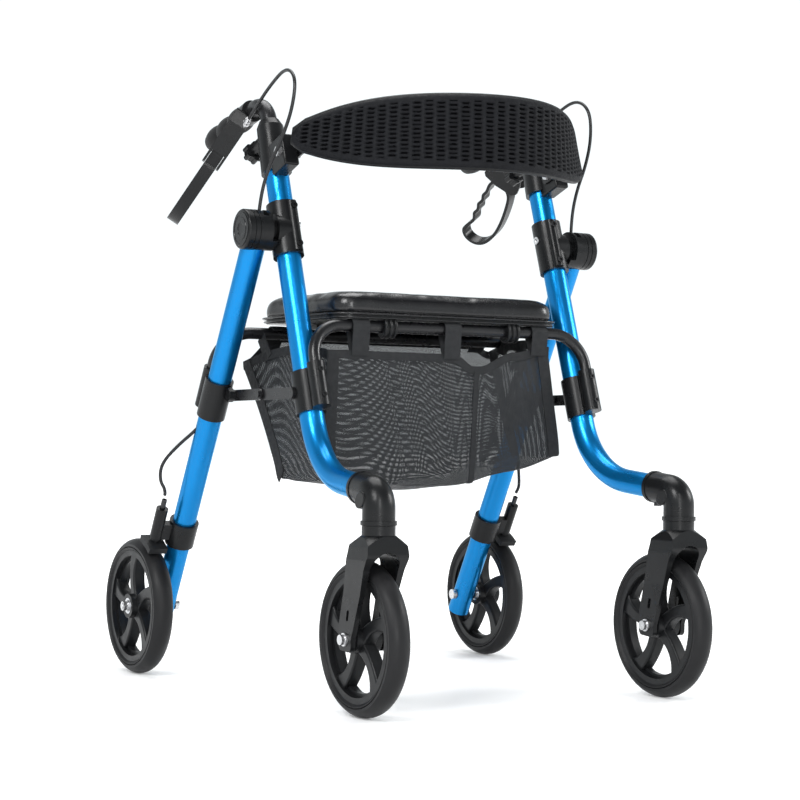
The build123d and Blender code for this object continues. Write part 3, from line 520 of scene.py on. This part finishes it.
def sweep(name, path, section, material, body, closed=False):
    """A closed section (list of (side, up) in millimetres) swept along a path."""
    points = []
    rows = frames_along([Vector(point) for point in path])
    for point, _, side, up in rows:
        points += [point + side * a + up * b for a, b in section]
    count = len(section)
    faces = grid_faces(len(rows), count, close_rows=closed, close_columns=True)
    if not closed:
        faces.append(tuple(range(count))[::-1])
        last = (len(rows) - 1) * count
        faces.append(tuple(last + k for k in range(count)))
    return make_piece(name, points, faces, material, body)


def ring_section(radius, count=16):
    return [
        (radius * math.cos(2 * math.pi * k / count), radius * math.sin(2 * math.pi * k / count))
        for k in range(count)
    ]


def smooth_path(points, resolution):
    """Points along a smooth NURBS line through the neighbourhood of the given ones."""
    curve = bpy.data.curves.new("path", "CURVE")
    curve.dimensions = "3D"
    spline = curve.splines.new("NURBS")
    spline.points.add(len(points) - 1)
    for target, point in zip(spline.points, points):
        target.co = (*point, 1)
    spline.order_u = 3
    spline.use_endpoint_u = True
    spline.resolution_u = resolution
    holder = bpy.data.objects.new("path", curve)
    bpy.context.scene.collection.objects.link(holder)
    mesh = bpy.data.meshes.new_from_object(holder.evaluated_get(bpy.context.evaluated_depsgraph_get()))
    line = [vertex.co.copy() for vertex in mesh.vertices]
    bpy.data.objects.remove(holder)
    bpy.data.meshes.remove(mesh)
    return line


def lathe(name, axis_start, axis_end, profile, material, body, count):
    """A turned piece: profile is (distance along the axis, radius) in millimetres."""
    start, end = Vector(axis_start), Vector(axis_end)
    along = (end - start).normalized()
    hint = Vector((0, 0, 1)) if abs(along.z) < 0.9 else Vector((1, 0, 0))
    side = along.cross(hint).normalized()
    up = along.cross(side)
    points = []
    for distance, radius in profile:
        for k in range(count):
            angle = 2 * math.pi * k / count
            rim = side * math.cos(angle) + up * math.sin(angle)
            points.append(start + along * distance + rim * max(radius, 0.01))
    faces = grid_faces(len(profile), count, close_columns=True)
    faces.append(tuple(range(count))[::-1])
    faces.append(tuple((len(profile) - 1) * count + k for k in range(count)))
    piece = make_piece(name, points, faces, material, body)
    piece.data.set_sharp_from_angle(angle=math.radians(35))


# ------------------------------------------------------------------ seat
SEAT_FRONT_HALF = 176.0
SEAT_REAR_HALF = 186.0
SEAT_CORNER = 34.0
CORNER_STEPS = 10
SEAT_LEVELS = [
    # height above the seat base, and how far the outline is pulled in there
    (0.0, 2.5), (0.0, 0.5), (3.0, 0.0), (12.0, 0.0), (18.0, 1.6), (23.5, 5.0), (26.0, 9.5), (27.2, 15.0),
]
SEAT_VOXEL = 0.0048
SEAT_PRESSURE = 3.0
SEAT_SWELL = 5.0 * MM
SEAT_FOOT_GAP = 0.0002
CLOTH_FRAMES = 20
SEAT_TRIM = [
    # name, height above the seat base, inset and radius of the cord
    ("seat_welt", 1.4, -0.3, 1.4),
    ("seat_hem", -3.4, 1.4, 1.1),
]
FRONT_BAR_Y = -93.0
REAR_BAR_Y = 85.5
BAR_RADIUS = 8.0
TIE_X = 96.0
TIE_SPACING = 7.5
TIE_REACH = 13.4
TIE_SLANT = 1.6
TIE_RADIUS = 1.9
TIE_STEPS = 28


def bar_height(node):
    """Height of a cross tube's middle line, where it runs level."""
    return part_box(node)[1].z / MM - BAR_RADIUS


def seat_edge(inset):
    """The seat's rounded outline, as (x, y) points, pulled in by inset."""
    low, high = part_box("seat_pad")
    front, rear = low.y / MM + inset, high.y / MM - inset
    corners = [
        (SEAT_FRONT_HALF - inset, front, -90),
        (SEAT_REAR_HALF - inset, rear, 0),
        (-SEAT_REAR_HALF + inset, rear, 90),
        (-SEAT_FRONT_HALF + inset, front, 180),
    ]
    radius = SEAT_CORNER - inset
    outline = []
    for x, y, start in corners:
        centre = (x - math.copysign(radius, x), y - math.copysign(radius, y))
        for k in range(CORNER_STEPS + 1):
            angle = math.radians(start + 90 * k / CORNER_STEPS)
            outline.append((centre[0] + radius * math.cos(angle), centre[1] + radius * math.sin(angle)))
    return outline


def seat_cushion(materials):
    """Upholstered pad, blown up a little by a cloth simulation so that its top crowns."""
    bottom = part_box("seat_pad")[0].z / MM
    points = []
    for height, inset in SEAT_LEVELS:
        points += [(x, y, bottom + height) for x, y in seat_edge(inset)]
    count = len(seat_edge(0))
    faces = grid_faces(len(SEAT_LEVELS), count, close_columns=True)
    faces.append(tuple(range(count))[::-1])
    faces.append(tuple((len(SEAT_LEVELS) - 1) * count + k for k in range(count)))
    cushion = make_piece("seat_cushion", points, faces, materials["seat_vinyl"], None)
    remesh = cushion.modifiers.new("remesh", "REMESH")
    remesh.mode = "VOXEL"
    remesh.voxel_size = SEAT_VOXEL
    apply_modifiers(cushion)
    inflate(cushion, SEAT_PRESSURE, SEAT_SWELL)
    floor_z = bottom * MM
    for vertex in cushion.data.vertices:
        vertex.co.z = max(vertex.co.z, floor_z + SEAT_FOOT_GAP)
    smoothing = cushion.modifiers.new("smooth", "SMOOTH")
    smoothing.iterations = 4
    detail = cushion.modifiers.new("detail", "SUBSURF")
    detail.levels = detail.render_levels = 1
    apply_modifiers(cushion)
    cushion.data.materials.clear()
    cushion.data.materials.append(materials["seat_vinyl"])
    cushion.data.shade_smooth()
    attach(cushion, "seat")
    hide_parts("seat_pad")


def inflate(piece, pressure, limit):
    """Cloth pressure without gravity; no point moves further than limit."""
    rest = [vertex.co.copy() for vertex in piece.data.vertices]
    cloth = piece.modifiers.new("cloth", "CLOTH")
    cloth.settings.use_pressure = True
    cloth.settings.uniform_pressure_force = pressure
    cloth.settings.effector_weights.gravity = 0
    cloth.settings.quality = 5
    scene = bpy.context.scene
    for number in range(1, CLOTH_FRAMES + 1):
        scene.frame_set(number)
    apply_modifiers(piece)
    scene.frame_set(1)
    for vertex, start in zip(piece.data.vertices, rest):
        move = vertex.co - start
        if move.length > limit:
            vertex.co = start + move * (limit / move.length)


def seat_trim(materials):
    """Welt round the foot of the cushion, and the folded edge under it."""
    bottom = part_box("seat_pad")[0].z / MM
    vinyl_skin = materials["seat_vinyl"]
    for name, height, inset, radius in SEAT_TRIM:
        path = [(x, y, bottom + height) for x, y in seat_edge(inset)]
        sweep(name, path, ring_section(radius, 10), vinyl_skin, "seat", closed=True)


def seat_ties(materials):
    """Ribbed clips that hold the seat to the front cross tube."""
    bar_z = bar_height("front_cross_tube")
    section = ring_section(TIE_RADIUS, 10)
    nylon = materials["black_plastic"]
    for side, sign in SIDES.items():
        for index, place in enumerate((-1, 0, 1)):
            x = sign * TIE_X + place * TIE_SPACING
            path = []
            for k in range(TIE_STEPS):
                angle = 2 * math.pi * k / TIE_STEPS
                across, up = math.cos(angle), math.sin(angle)
                y, z = FRONT_BAR_Y + TIE_REACH * across, bar_z + TIE_REACH * up
                path.append((x + TIE_SLANT * across, y, z))
            name = f"{side}_seat_tie_{index + 1}"
            sweep(name, path, section, nylon, "seat", closed=True)


# ------------------------------------------------------------------ back strap
STRAP_HALF = 206.0
STRAP_END_Y = -75.0
STRAP_BOW = 158.0
STRAP_TOP = 774.0
STRAP_BOTTOM = 679.0
STRAP_DROOP = 25.0
STRAP_DROOP_POWER = 5.3
# tail length as a share of the half width, and how much of the height it draws in
STRAP_TAIL = 0.06
STRAP_TAIL_SQUEEZE = 0.55
STRAP_LEAN = 23.0
STRAP_LEAN_PIVOT = 0.35
STRAP_HALF_THICK = 8.6
STRAP_COLUMNS = 560
STRAP_ROWS = 78
STRAP_END_STRETCH = 1.8
STRAP_END_ROUND = 9.0
STRAP_END_THICK = 0.02
STRAP_END_HIGH = 0.8
STRAP_EDGE_ROUND = 7.5
STRAP_MARGIN = 8.0
STRAP_MARGIN_SLOPE = 2.0
STRAP_SWELL = 0.8
CELL_WIDE = 15.0
CELL_HIGH = 5.6
CELL_DEEP = 2.8
CELL_END_WALL = 0.8
CELL_POINT = 1.2
CELL_END_SLOPE = 1.6
CELL_SIDE_WALL = 0.75
CELL_SIDE_SLOPE = 0.9
# faces sunk deeper than this share of a cell's depth take the near-black knit, painted shade for the
# cell floors
PAINTED_SHADE_SHARE = 0.4
BINDING_STEPS = 96
BINDING_INSET = 3.8
BINDING_SHORT = 0.008
BINDING_SIDES = 18
BINDING_RADII = (5.2, 5.6)


def strap_point(t):
    """Middle of the strap and its outward normal, for t from -1 to 1 and the tails."""
    reach = max(min(t, 1.0), -1.0)
    slope = 2 * STRAP_BOW * reach / STRAP_HALF
    length = math.hypot(1, slope)
    centre = Vector((STRAP_HALF * reach, STRAP_END_Y - STRAP_BOW * (1 - reach * reach), 0))
    centre += Vector((1, slope, 0)) * (t - reach) * STRAP_HALF
    return centre, Vector((slope / length, -1 / length, 0))


def strap_lean(t, z):
    """How far the strap flares outward at a height; its ends lean more than its middle."""
    drop = (STRAP_TOP - z) / (STRAP_TOP - STRAP_BOTTOM)
    return STRAP_LEAN * t * t * (drop - STRAP_LEAN_PIVOT)


def strap_edges(t):
    """Top and bottom of the strap; past t = 1 it draws in to a short tail."""
    reach = min(abs(t), 1.0)
    droop = STRAP_DROOP * reach ** STRAP_DROOP_POWER
    top, bottom = STRAP_TOP - droop, STRAP_BOTTOM + droop
    tail = max(abs(t) - 1.0, 0.0) / STRAP_TAIL
    squeeze = STRAP_TAIL_SQUEEZE * ease(tail) * (top - bottom) / 2
    return top - squeeze, bottom + squeeze


def cell_depth(along, up):
    """Depth of the knit's long staggered cells at a place on the strap, in millimetres."""
    column = math.floor(along / CELL_WIDE)
    x = (along / CELL_WIDE - column - 0.5) * CELL_WIDE
    shifted = up / CELL_HIGH + 0.5 * (column % 2)
    y = (shifted - math.floor(shifted) - 0.5) * CELL_HIGH
    reach = 0.5 * CELL_WIDE - CELL_END_WALL - abs(y) * CELL_POINT
    across = clamp((reach - abs(x)) / CELL_END_SLOPE)
    tall = clamp((0.5 * CELL_HIGH - CELL_SIDE_WALL - abs(y)) / CELL_SIDE_SLOPE)
    return CELL_DEEP * across * tall


def strap_ring(t, along):
    """One upright ring of the strap's points, and how deep each is pressed in."""
    centre, normal = strap_point(t)
    top, bottom = strap_edges(t)
    left = (1 + STRAP_TAIL - abs(t)) * STRAP_HALF * STRAP_END_STRETCH
    end_round = math.sqrt(1 - (1 - min(left / STRAP_END_ROUND, 1.0)) ** 2) + STRAP_END_THICK
    middle = (top + bottom) / 2
    half = (top - bottom) / 2 * (STRAP_END_HIGH + (1 - STRAP_END_HIGH) * end_round)
    ring, sunken = [], []
    for face in (1, -1):
        for k in range(STRAP_ROWS):
            share = (k + 0.5) / STRAP_ROWS
            v = face * (1 - 2 * share)
            height = half * v
            z = middle + height
            edge = min(1.0, (1 - abs(v)) * half / STRAP_EDGE_ROUND)
            thick = STRAP_HALF_THICK * math.sqrt(max(0.0, 1 - (1 - edge) ** 2)) * end_round
            inside = clamp((half - abs(height) - STRAP_MARGIN) / STRAP_MARGIN_SLOPE)
            inside *= clamp(left / STRAP_MARGIN - 1.0)
            sunk = inside * cell_depth(along, z)
            out = face * (thick - sunk + inside * STRAP_SWELL) + strap_lean(t, z)
            ring.append(centre + normal * out + Vector((0, 0, z)))
            sunken.append(sunk)
    return ring, sunken


def strap_body(materials):
    """Padded strap: rounded all round, with the open knit pressed into both faces and painted shade on
    the deep cell floors.
    """
    points, hollow = [], []
    along = 0.0
    last = None
    for index in range(STRAP_COLUMNS + 1):
        t = (1 + STRAP_TAIL) * (2 * index / STRAP_COLUMNS - 1)
        centre = strap_point(t)[0]
        if last is not None:
            along += (centre - last).length
        last = centre
        ring, sunken = strap_ring(t, along)
        points += ring
        hollow += sunken
    count = 2 * STRAP_ROWS
    faces = grid_faces(STRAP_COLUMNS + 1, count, close_columns=True)
    faces.append(tuple(range(count)))
    faces.append(tuple(STRAP_COLUMNS * count + k for k in range(count))[::-1])
    yarn = materials["mesh_fabric"]
    strap = make_piece("back_strap_pad", points, faces, yarn, "backrest")
    # the deep cell floors get painted shade, the near-black knit
    strap.data.materials.append(materials["mesh_painted_shade"])
    for face in strap.data.polygons:
        shallowest = min(hollow[corner] for corner in face.vertices)
        face.material_index = int(shallowest > PAINTED_SHADE_SHARE * CELL_DEEP)
    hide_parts("back_strap")


def strap_binding(materials):
    """Smooth tape that wraps the strap's edge all the way round."""
    upper, lower = [], []
    for index in range(BINDING_STEPS + 1):
        t = (1 + STRAP_TAIL - BINDING_SHORT) * (2 * index / BINDING_STEPS - 1)
        centre, normal = strap_point(t)
        top, bottom = strap_edges(t)
        for line, z in ((upper, top - BINDING_INSET), (lower, bottom + BINDING_INSET)):
            line.append(centre + normal * strap_lean(t, z) + Vector((0, 0, z)))
    angles = [2 * math.pi * k / BINDING_SIDES for k in range(BINDING_SIDES)]
    wide, high = BINDING_RADII
    section = [(wide * math.cos(angle), high * math.sin(angle)) for angle in angles]
    path = upper + lower[::-1]
    tape_skin = materials["binding_smooth"]
    sweep("back_strap_binding", path, section, tape_skin, "backrest", closed=True)


# ------------------------------------------------------------------ basket
BASKET_HALF = 186.0
BASKET_FRONT_Y = -97.0
BASKET_REAR_Y = 122.0
BASKET_REAR_TOP = 477.0
BASKET_REAR_CORNERS = (438.0, 464.0)
# (x, z) along the front edge
BASKET_FRONT_EDGE = [(-186, 449), (4, 448), (34, 433), (44, 433), (100, 453), (186, 462)]
BASKET_STEPS = 63
BASKET_COLUMNS = 120
PANEL_ROWS = 26
FLOOR_STEP = 21
REAR_FOOT_STEP = 42
FLOOR_LOW_X = -60
FLOOR_LOW_Z = 271
FLOOR_SAG_POWER = 2.2
# distance from the lowest place to the end panel, and the rise over it
LEFT_FLOOR = (247, 42)
RIGHT_FLOOR = (128, 9)
SIDE_ARCH = 13
REAR_DIP = 18
REAR_CORNER_WIDE = 30.0
GATHER = 31
FLARE = 14
POCKET_SEAM_X = 40.0
TAPE_COLUMNS = 7
TAPE_CROWN = 0.35
EDGE_STEPS = 60
RIM_STEPS = 20
LOOP_PLACES = (("right", -140.0), ("middle", 0.0), ("left", 139.0))
LOOP_RADIUS = 9.6
HANGER_X = 166.0
HANGER_RADIUS = 9.3
# share of the way from the front corner to the back one
SIDE_STRAP_PLACE = 0.72


def basket_floor(x):
    """Height of the sagging bottom across the basket, lowest a little right of the middle."""
    run, rise = LEFT_FLOOR if x > FLOOR_LOW_X else RIGHT_FLOOR
    return FLOOR_LOW_Z + rise * abs((x - FLOOR_LOW_X) / run) ** FLOOR_SAG_POWER


def basket_front_top(x):
    """Height of the front edge, with the notch where the pocket is folded over."""
    for (x0, z0), (x1, z1) in zip(BASKET_FRONT_EDGE, BASKET_FRONT_EDGE[1:]):
        if x <= x1:
            return z0 + (z1 - z0) * ease((x - x0) / (x1 - x0))
    return BASKET_FRONT_EDGE[-1][1]


def basket_side_top(share, first, last):
    """Top edge of an end panel, from its front corner (0) to its back one (1)."""
    spot = first + (last - first) * share
    return Vector((spot.x, spot.y + SIDE_ARCH * math.sin(math.pi * share)))


def basket_rear_top(x):
    """The back hangs behind the rear cross tube, and drops away at its two corners."""
    lift = ease(clamp((BASKET_HALF - abs(x)) / REAR_CORNER_WIDE))
    corner = BASKET_REAR_CORNERS[int(x > 0)]
    return Vector((BASKET_REAR_Y - REAR_DIP * lift, corner + (BASKET_REAR_TOP - corner) * lift))


def basket_profile(x):
    """Section at one place across: front edge, down, under and up the back."""
    floor_z = basket_floor(x)
    front_top = basket_front_top(x)
    rear_top = basket_rear_top(x)
    rear_foot = Vector((36, floor_z + 3))
    corners = [
        Vector((BASKET_FRONT_Y, front_top)),
        Vector((BASKET_FRONT_Y + 5, (front_top + floor_z) / 2 + 10)),
        Vector((BASKET_FRONT_Y + 11, floor_z + 14)),
        Vector((-75, floor_z + 1)),
        Vector((-25, floor_z - 2)),
        Vector((12, floor_z)),
        rear_foot,
        rear_foot + (rear_top - rear_foot) * 0.16,
        rear_foot + (rear_top - rear_foot) * 0.58,
        rear_top,
    ]
    line = []
    pieces = len(corners) - 1
    for index in range(BASKET_STEPS + 1):
        place = index / BASKET_STEPS * pieces
        k = min(int(place), pieces - 1)
        f = place - k
        p0, p1 = corners[max(k - 1, 0)], corners[k]
        p2, p3 = corners[k + 1], corners[min(k + 2, pieces)]
        bend = p0 * 2 - p1 * 5 + p2 * 4 - p3
        line.append(0.5 * (2 * p1 + (p2 - p0) * f + bend * f * f + (3 * p1 - p0 - 3 * p2 + p3) * f ** 3))
    return line


def drape(x, y, z):
    """Sideways give: the left front corner is gathered in, both back corners flare out."""
    # how much a place counts as front, high, left and back corner, from 0 to 1
    front = clamp((20 - y) / 110)
    high = clamp((z - 300) / 150)
    side = clamp((x - 90) / 96)
    back = clamp((y - 30) / 90) * clamp((abs(x) - 150) / 36)
    return x - GATHER * front * high * side + math.copysign(FLARE, x) * back * high


def wrinkle(x, s):
    """Slow slack waves in the cloth, none at the seams."""
    hold = math.sin(math.pi * clamp((x + BASKET_HALF) / (2 * BASKET_HALF))) ** 0.5
    sway = math.sin(x * 0.031 + 5.2 * s) * 2.6 + math.sin(x * 0.067 - 7.0 * s + 1.3) * 1.4
    return hold * sway * math.sin(math.pi * clamp(s)) ** 0.5


def basket_shell(materials):
    """Front, bottom and back in one net, from side seam to side seam."""
    points, uvs = [], []
    for i in range(BASKET_COLUMNS + 1):
        x = -BASKET_HALF + 2 * BASKET_HALF * i / BASKET_COLUMNS
        line = basket_profile(x)
        run = 0.0
        for j, place in enumerate(line):
            if j:
                run += (place - line[j - 1]).length
            ahead = line[min(j + 1, BASKET_STEPS)] - line[max(j - 1, 0)]
            normal = Vector((-ahead.y, ahead.x)).normalized()
            bulge = wrinkle(x, j / BASKET_STEPS)
            y, z = place.x - normal.x * bulge, place.y - normal.y * bulge
            points.append((drape(x, y, z), y, z))
            uvs.append((x * MM, run * MM))
    faces = grid_faces(BASKET_COLUMNS + 1, BASKET_STEPS + 1)
    net = make_piece("basket_net", points, faces, materials["basket_cloth"], None)
    add_uv(net, uvs)
    return net


def basket_side(side, sign, materials):
    """One end panel, fanned from its arched top edge down to the section's outline."""
    x = sign * BASKET_HALF
    line = basket_profile(x)
    points, uvs = [], []
    for j in range(PANEL_ROWS + 1):
        f = j / PANEL_ROWS
        for k, place in enumerate(line):
            share = k / BASKET_STEPS
            top = basket_side_top(share, line[0], line[-1])
            spot = top + (place - top) * f
            puff = math.sin(math.pi * f) * math.sin(math.pi * share)
            ripple = 1.6 * math.sin(14 * share + 6 * f) * puff
            points.append((drape(x, spot.x, spot.y) + sign * (1.5 * puff + ripple), spot.x, spot.y))
            uvs.append((spot.x * MM, spot.y * MM))
    faces = grid_faces(PANEL_ROWS + 1, len(line))
    if sign > 0:
        faces = [face[::-1] for face in faces]
    name = f"{side}_basket_panel"
    panel = make_piece(name, points, faces, materials["basket_cloth"], None)
    add_uv(panel, uvs)
    return panel


def tape(name, path, outward, wide, materials, shift=0.9, thick=1.3, body="front_frame"):
    """Flat webbing along a path; outward gives the way that its face points, once or at each point."""
    points, uvs = [], []
    total = 0.0
    path = [Vector(point) for point in path]
    for index, point in enumerate(path):
        if index:
            total += (point - path[index - 1]).length
        ahead = (path[min(index + 1, len(path) - 1)] - path[max(index - 1, 0)]).normalized()
        face = outward[index] if isinstance(outward, list) else Vector(outward)
        across = ahead.cross(face).normalized()
        normal = across.cross(ahead).normalized()
        for k in range(TAPE_COLUMNS):
            share = k / (TAPE_COLUMNS - 1)
            offset = (share - 0.5) * wide
            crown = TAPE_CROWN * (1 - (2 * share - 1) ** 2)
            points.append(point + across * offset + normal * (shift + crown))
            uvs.append((offset * MM, total * MM))
    faces = grid_faces(len(path), TAPE_COLUMNS)
    strip = make_piece(name, points, faces, materials["binding"], None)
    add_uv(strip, uvs)
    thicken(strip, thick)
    strip.data.shade_smooth()
    strip.data.set_sharp_from_angle(angle=math.radians(40))
    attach(strip, body)
    return strip


def long_edge_tapes(materials):
    """Bindings along the front and the rear top edge."""
    front, rear = [], []
    for k in range(EDGE_STEPS + 1):
        x = -BASKET_HALF + 2 * BASKET_HALF * k / EDGE_STEPS
        z = basket_front_top(x) - 5
        front.append((drape(x, BASKET_FRONT_Y, z), BASKET_FRONT_Y, z))
        place = basket_rear_top(x)
        rear.append((drape(x, place.x, place.y), place.x - 2, place.y - 5))
    return [
        tape("basket_front_edge", front, (0, -1, 0), 11, materials),
        tape("basket_rear_edge", rear, (0, 1, -0.2), 11, materials),
    ]


def end_tapes(side, sign, materials):
    """Bindings of one end panel: its front corner, its back corner and its top edge."""
    x = sign * BASKET_HALF
    line = basket_profile(x)
    corner = []
    outward = []
    for k, place in enumerate(line[:FLOOR_STEP]):
        corner.append((drape(x, place.x, place.y) - sign * 7, place.x, place.y))
        ahead = line[k + 1] - line[max(k - 1, 0)]
        outward.append(Vector((0, ahead.y, -ahead.x)))
    back = [(drape(x, place.x, place.y), place.x - 8, place.y) for place in line[REAR_FOOT_STEP:]]
    rim = []
    for k in range(RIM_STEPS + 1):
        spot = basket_side_top(k / RIM_STEPS, line[0], line[-1])
        rim.append((drape(x, spot.x, spot.y), spot.x, spot.y - 5))
    return [
        tape(f"{side}_basket_corner", corner, outward, 17, materials, shift=1.2),
        tape(f"{side}_basket_back_corner", back, (sign, 0, 0), 20, materials, shift=1.6),
        tape(f"{side}_basket_side_edge", rim, (sign, 0, 0), 12, materials, shift=1.4),
    ]


def basket_tapes(materials):
    """Bindings along the top edges, the corners and the pocket's seam."""
    strips = long_edge_tapes(materials)
    for side, sign in SIDES.items():
        strips += end_tapes(side, sign, materials)
    line = basket_profile(POCKET_SEAM_X)
    seam = [(POCKET_SEAM_X, place.x, place.y) for place in line[1:FLOOR_STEP]]
    strips.append(tape("basket_pocket_seam", seam, (0, -1, 0), 8, materials, shift=2.2))
    return strips


def basket_loops(materials):
    """Three webbing loops over the front cross tube."""
    bar_z = bar_height("front_cross_tube")
    front_y, back_y = FRONT_BAR_Y - LOOP_RADIUS, FRONT_BAR_Y + LOOP_RADIUS
    for name, x in LOOP_PLACES:
        path, outward = [], []
        foot = basket_front_top(x) - 6
        for k in range(9):
            y = front_y + (BASKET_FRONT_Y - 2 - front_y) * (1 - k / 8)
            path.append((x, y, foot + (bar_z - foot) * k / 8))
            outward.append(Vector((0, -1, 0)))
        for k in range(1, 13):
            across, up = math.cos(math.pi * k / 12), math.sin(math.pi * k / 12)
            path.append((x, FRONT_BAR_Y - LOOP_RADIUS * across, bar_z + LOOP_RADIUS * up))
            outward.append(Vector((0, -across, up)))
        for k in range(1, 9):
            y = back_y + (BASKET_FRONT_Y + 1.5 - back_y) * k / 8
            path.append((x, y, bar_z + (foot - bar_z) * k / 8))
            outward.append(Vector((0, 1, 0)))
        tape(f"basket_loop_{name}", path, outward, 25, materials, shift=0.5, thick=1.5)


def basket_hanger(side, sign, bar_z, materials):
    """Strap round the rear cross tube, down to the basket's back edge."""
    x = sign * HANGER_X
    path, outward = [], []
    for k in range(11):
        angle = math.pi * (0.15 + k / 10)
        across, up = math.cos(angle), math.sin(angle)
        path.append((x, REAR_BAR_Y - HANGER_RADIUS * across, bar_z + HANGER_RADIUS * up))
        outward.append(Vector((0, -across, up)))
    rear_top = basket_rear_top(x)
    foot = Vector((x, rear_top.x - 1, rear_top.y - 12))
    start = Vector(path[-1])
    for k in range(1, 8):
        path.append(start + (foot - start) * k / 7)
        outward.append(Vector((0, 1, 0.6)))
    name = f"{side}_basket_hanger"
    tape(name, path, outward, 24, materials, shift=0.6, thick=1.4, body="rear_frame")


def basket_side_strap(side, sign, bar_z, materials):
    """Short strap from the rear cross tube's end to the end panel's top edge."""
    line = basket_profile(sign * BASKET_HALF)
    low_end = basket_side_top(SIDE_STRAP_PLACE, line[0], line[-1])
    out = sign * (BASKET_HALF + 6)
    start = Vector((out, REAR_BAR_Y, bar_z - 4))
    foot = Vector((out, low_end.x, low_end.y - 9))
    path = [start + (foot - start) * k / 7 for k in range(8)]
    name = f"{side}_basket_side_strap"
    tape(name, path, (sign, 0, 0), 20, materials, shift=0.6, thick=1.4, body="rear_frame")


def basket_hangers(materials):
    bar_z = bar_height("rear_cross_tube")
    for side, sign in SIDES.items():
        basket_hanger(side, sign, bar_z, materials)
        basket_side_strap(side, sign, bar_z, materials)


def basket(materials):
    """Net, end panels and tapes; the hangers ride the rear frame, the rest the front frame."""
    net = basket_shell(materials)
    panels = [basket_side(side, sign, materials) for side, sign in SIDES.items()]
    for piece in [net] + panels:
        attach(piece, "front_frame")
    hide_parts("basket")
    soft = [net] + panels + basket_tapes(materials)
    for piece in soft:
        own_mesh(piece)
    basket_loops(materials)
    basket_hangers(materials)


# ------------------------------------------------------------------ cables
CABLE_RADIUS = 2.3
CABLE_STEPS = 16
UPPER_CABLE = [
    (-223, 84, 756),
    (-226, 45, 775),
    (-227, -5, 801),
    (-229, -55, 817),
    (-231, -86, 798),
    (-235, -84, 758),
    (-239.5, -65, 722),
    (-243.5, -38, 690),
    (-247, -21, 655),
    (-248.3, -18, 630),
]
LOWER_CABLE = [
    (-252, 32, 513),
    (-249, 66, 452),
    (-254, 98, 396),
    (-256, 118, 362),
    (-266, 133, 344),
    (-280, 163, 322),
    (-295, 183, 297),
    (-297, 183, 274),
    (-291.5, 175.2, 261),
    (-290, 181, 254),
]


def mirrored(points, sign):
    """Points drawn for the right side (-X), for the side asked."""
    return [Vector((-sign * point[0], point[1], point[2])) for point in points]


def cables(materials):
    """The upper cables run from handle to front frame and ride no body; the lower ones ride the rear
    frame.
    """
    section = ring_section(CABLE_RADIUS)
    cover = materials["cable_sheath"]
    for side, sign in SIDES.items():
        upper = mirrored(UPPER_CABLE, sign)
        line = smooth_path(upper, CABLE_STEPS)
        piece = sweep(f"{side}_upper_cable", line, section, cover, None)
        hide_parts(f"{side}_upper_brake_cable")
        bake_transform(piece)
        line = smooth_path(mirrored(LOWER_CABLE, sign), CABLE_STEPS)
        piece = sweep(f"{side}_lower_cable", line, section, cover, "rear_frame")
        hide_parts("lower_brake_cables")


# ------------------------------------------------------------------ small trim
HINGE_Y = -20.5
HINGE_Z = 606.0
# turned outlines, as (distance along the axis, radius)
CAP_PROFILE = [
    (-3.0, 22.5), (0.5, 22.5), (0.9, 22.0), (0.9, 19.5), (0.2, 19.0), (0.2, 15.5),
    (0.9, 15.0), (0.9, 9.0), (0.3, 8.6), (-0.4, 5.0), (-0.6, 0.0),
]
ADJUSTER_PROFILE = [
    (-2, 3.2), (1, 3.2), (1.2, 4.8), (5.6, 4.8), (5.9, 3.4), (7.0, 3.4),
    (7.2, 4.3), (11.4, 4.3), (11.8, 3.1), (15.5, 2.9), (16, 2.4),
]
ADJUSTER_GAP = 6
CAP_SIDES = 48
ADJUSTER_SIDES = 12


def hinge_caps(materials):
    """Turned face of each hinge cap: two raised rings and a recessed middle."""
    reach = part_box("rear_hinge_caps")[1].x / MM
    gloss = materials["gloss_black"]
    for side, sign in SIDES.items():
        start, end = (sign * reach, HINGE_Y, HINGE_Z), (sign * (reach + 5), HINGE_Y, HINGE_Z)
        name = f"{side}_hinge_cap_face"
        lathe(name, start, end, CAP_PROFILE, gloss, "rear_frame", CAP_SIDES)


def cable_adjusters(materials):
    """Twelve-sided barrel adjuster where each cable leaves its lever bracket."""
    steel = materials["steel"]
    for side, sign in SIDES.items():
        first, second = mirrored(UPPER_CABLE[:2], sign)
        along = (second - first).normalized()
        start, end = first + along * ADJUSTER_GAP, first + along * (ADJUSTER_GAP + 20)
        name = f"{side}_cable_adjuster"
        lathe(name, start, end, ADJUSTER_PROFILE, steel, f"{side}_handle", ADJUSTER_SIDES)


# ------------------------------------------------------------------ put it together
make_camera()
make_stage()
materials = make_materials()
dress_cad_nodes(materials)
blacken("front_frame_fasteners", materials, BRIGHT_SCREWS)
blacken("rear_frame_fasteners", materials, [])
seat_cushion(materials)
seat_trim(materials)
seat_ties(materials)
strap_body(materials)
strap_binding(materials)
basket(materials)
cables(materials)
hinge_caps(materials)
cable_adjusters(materials)
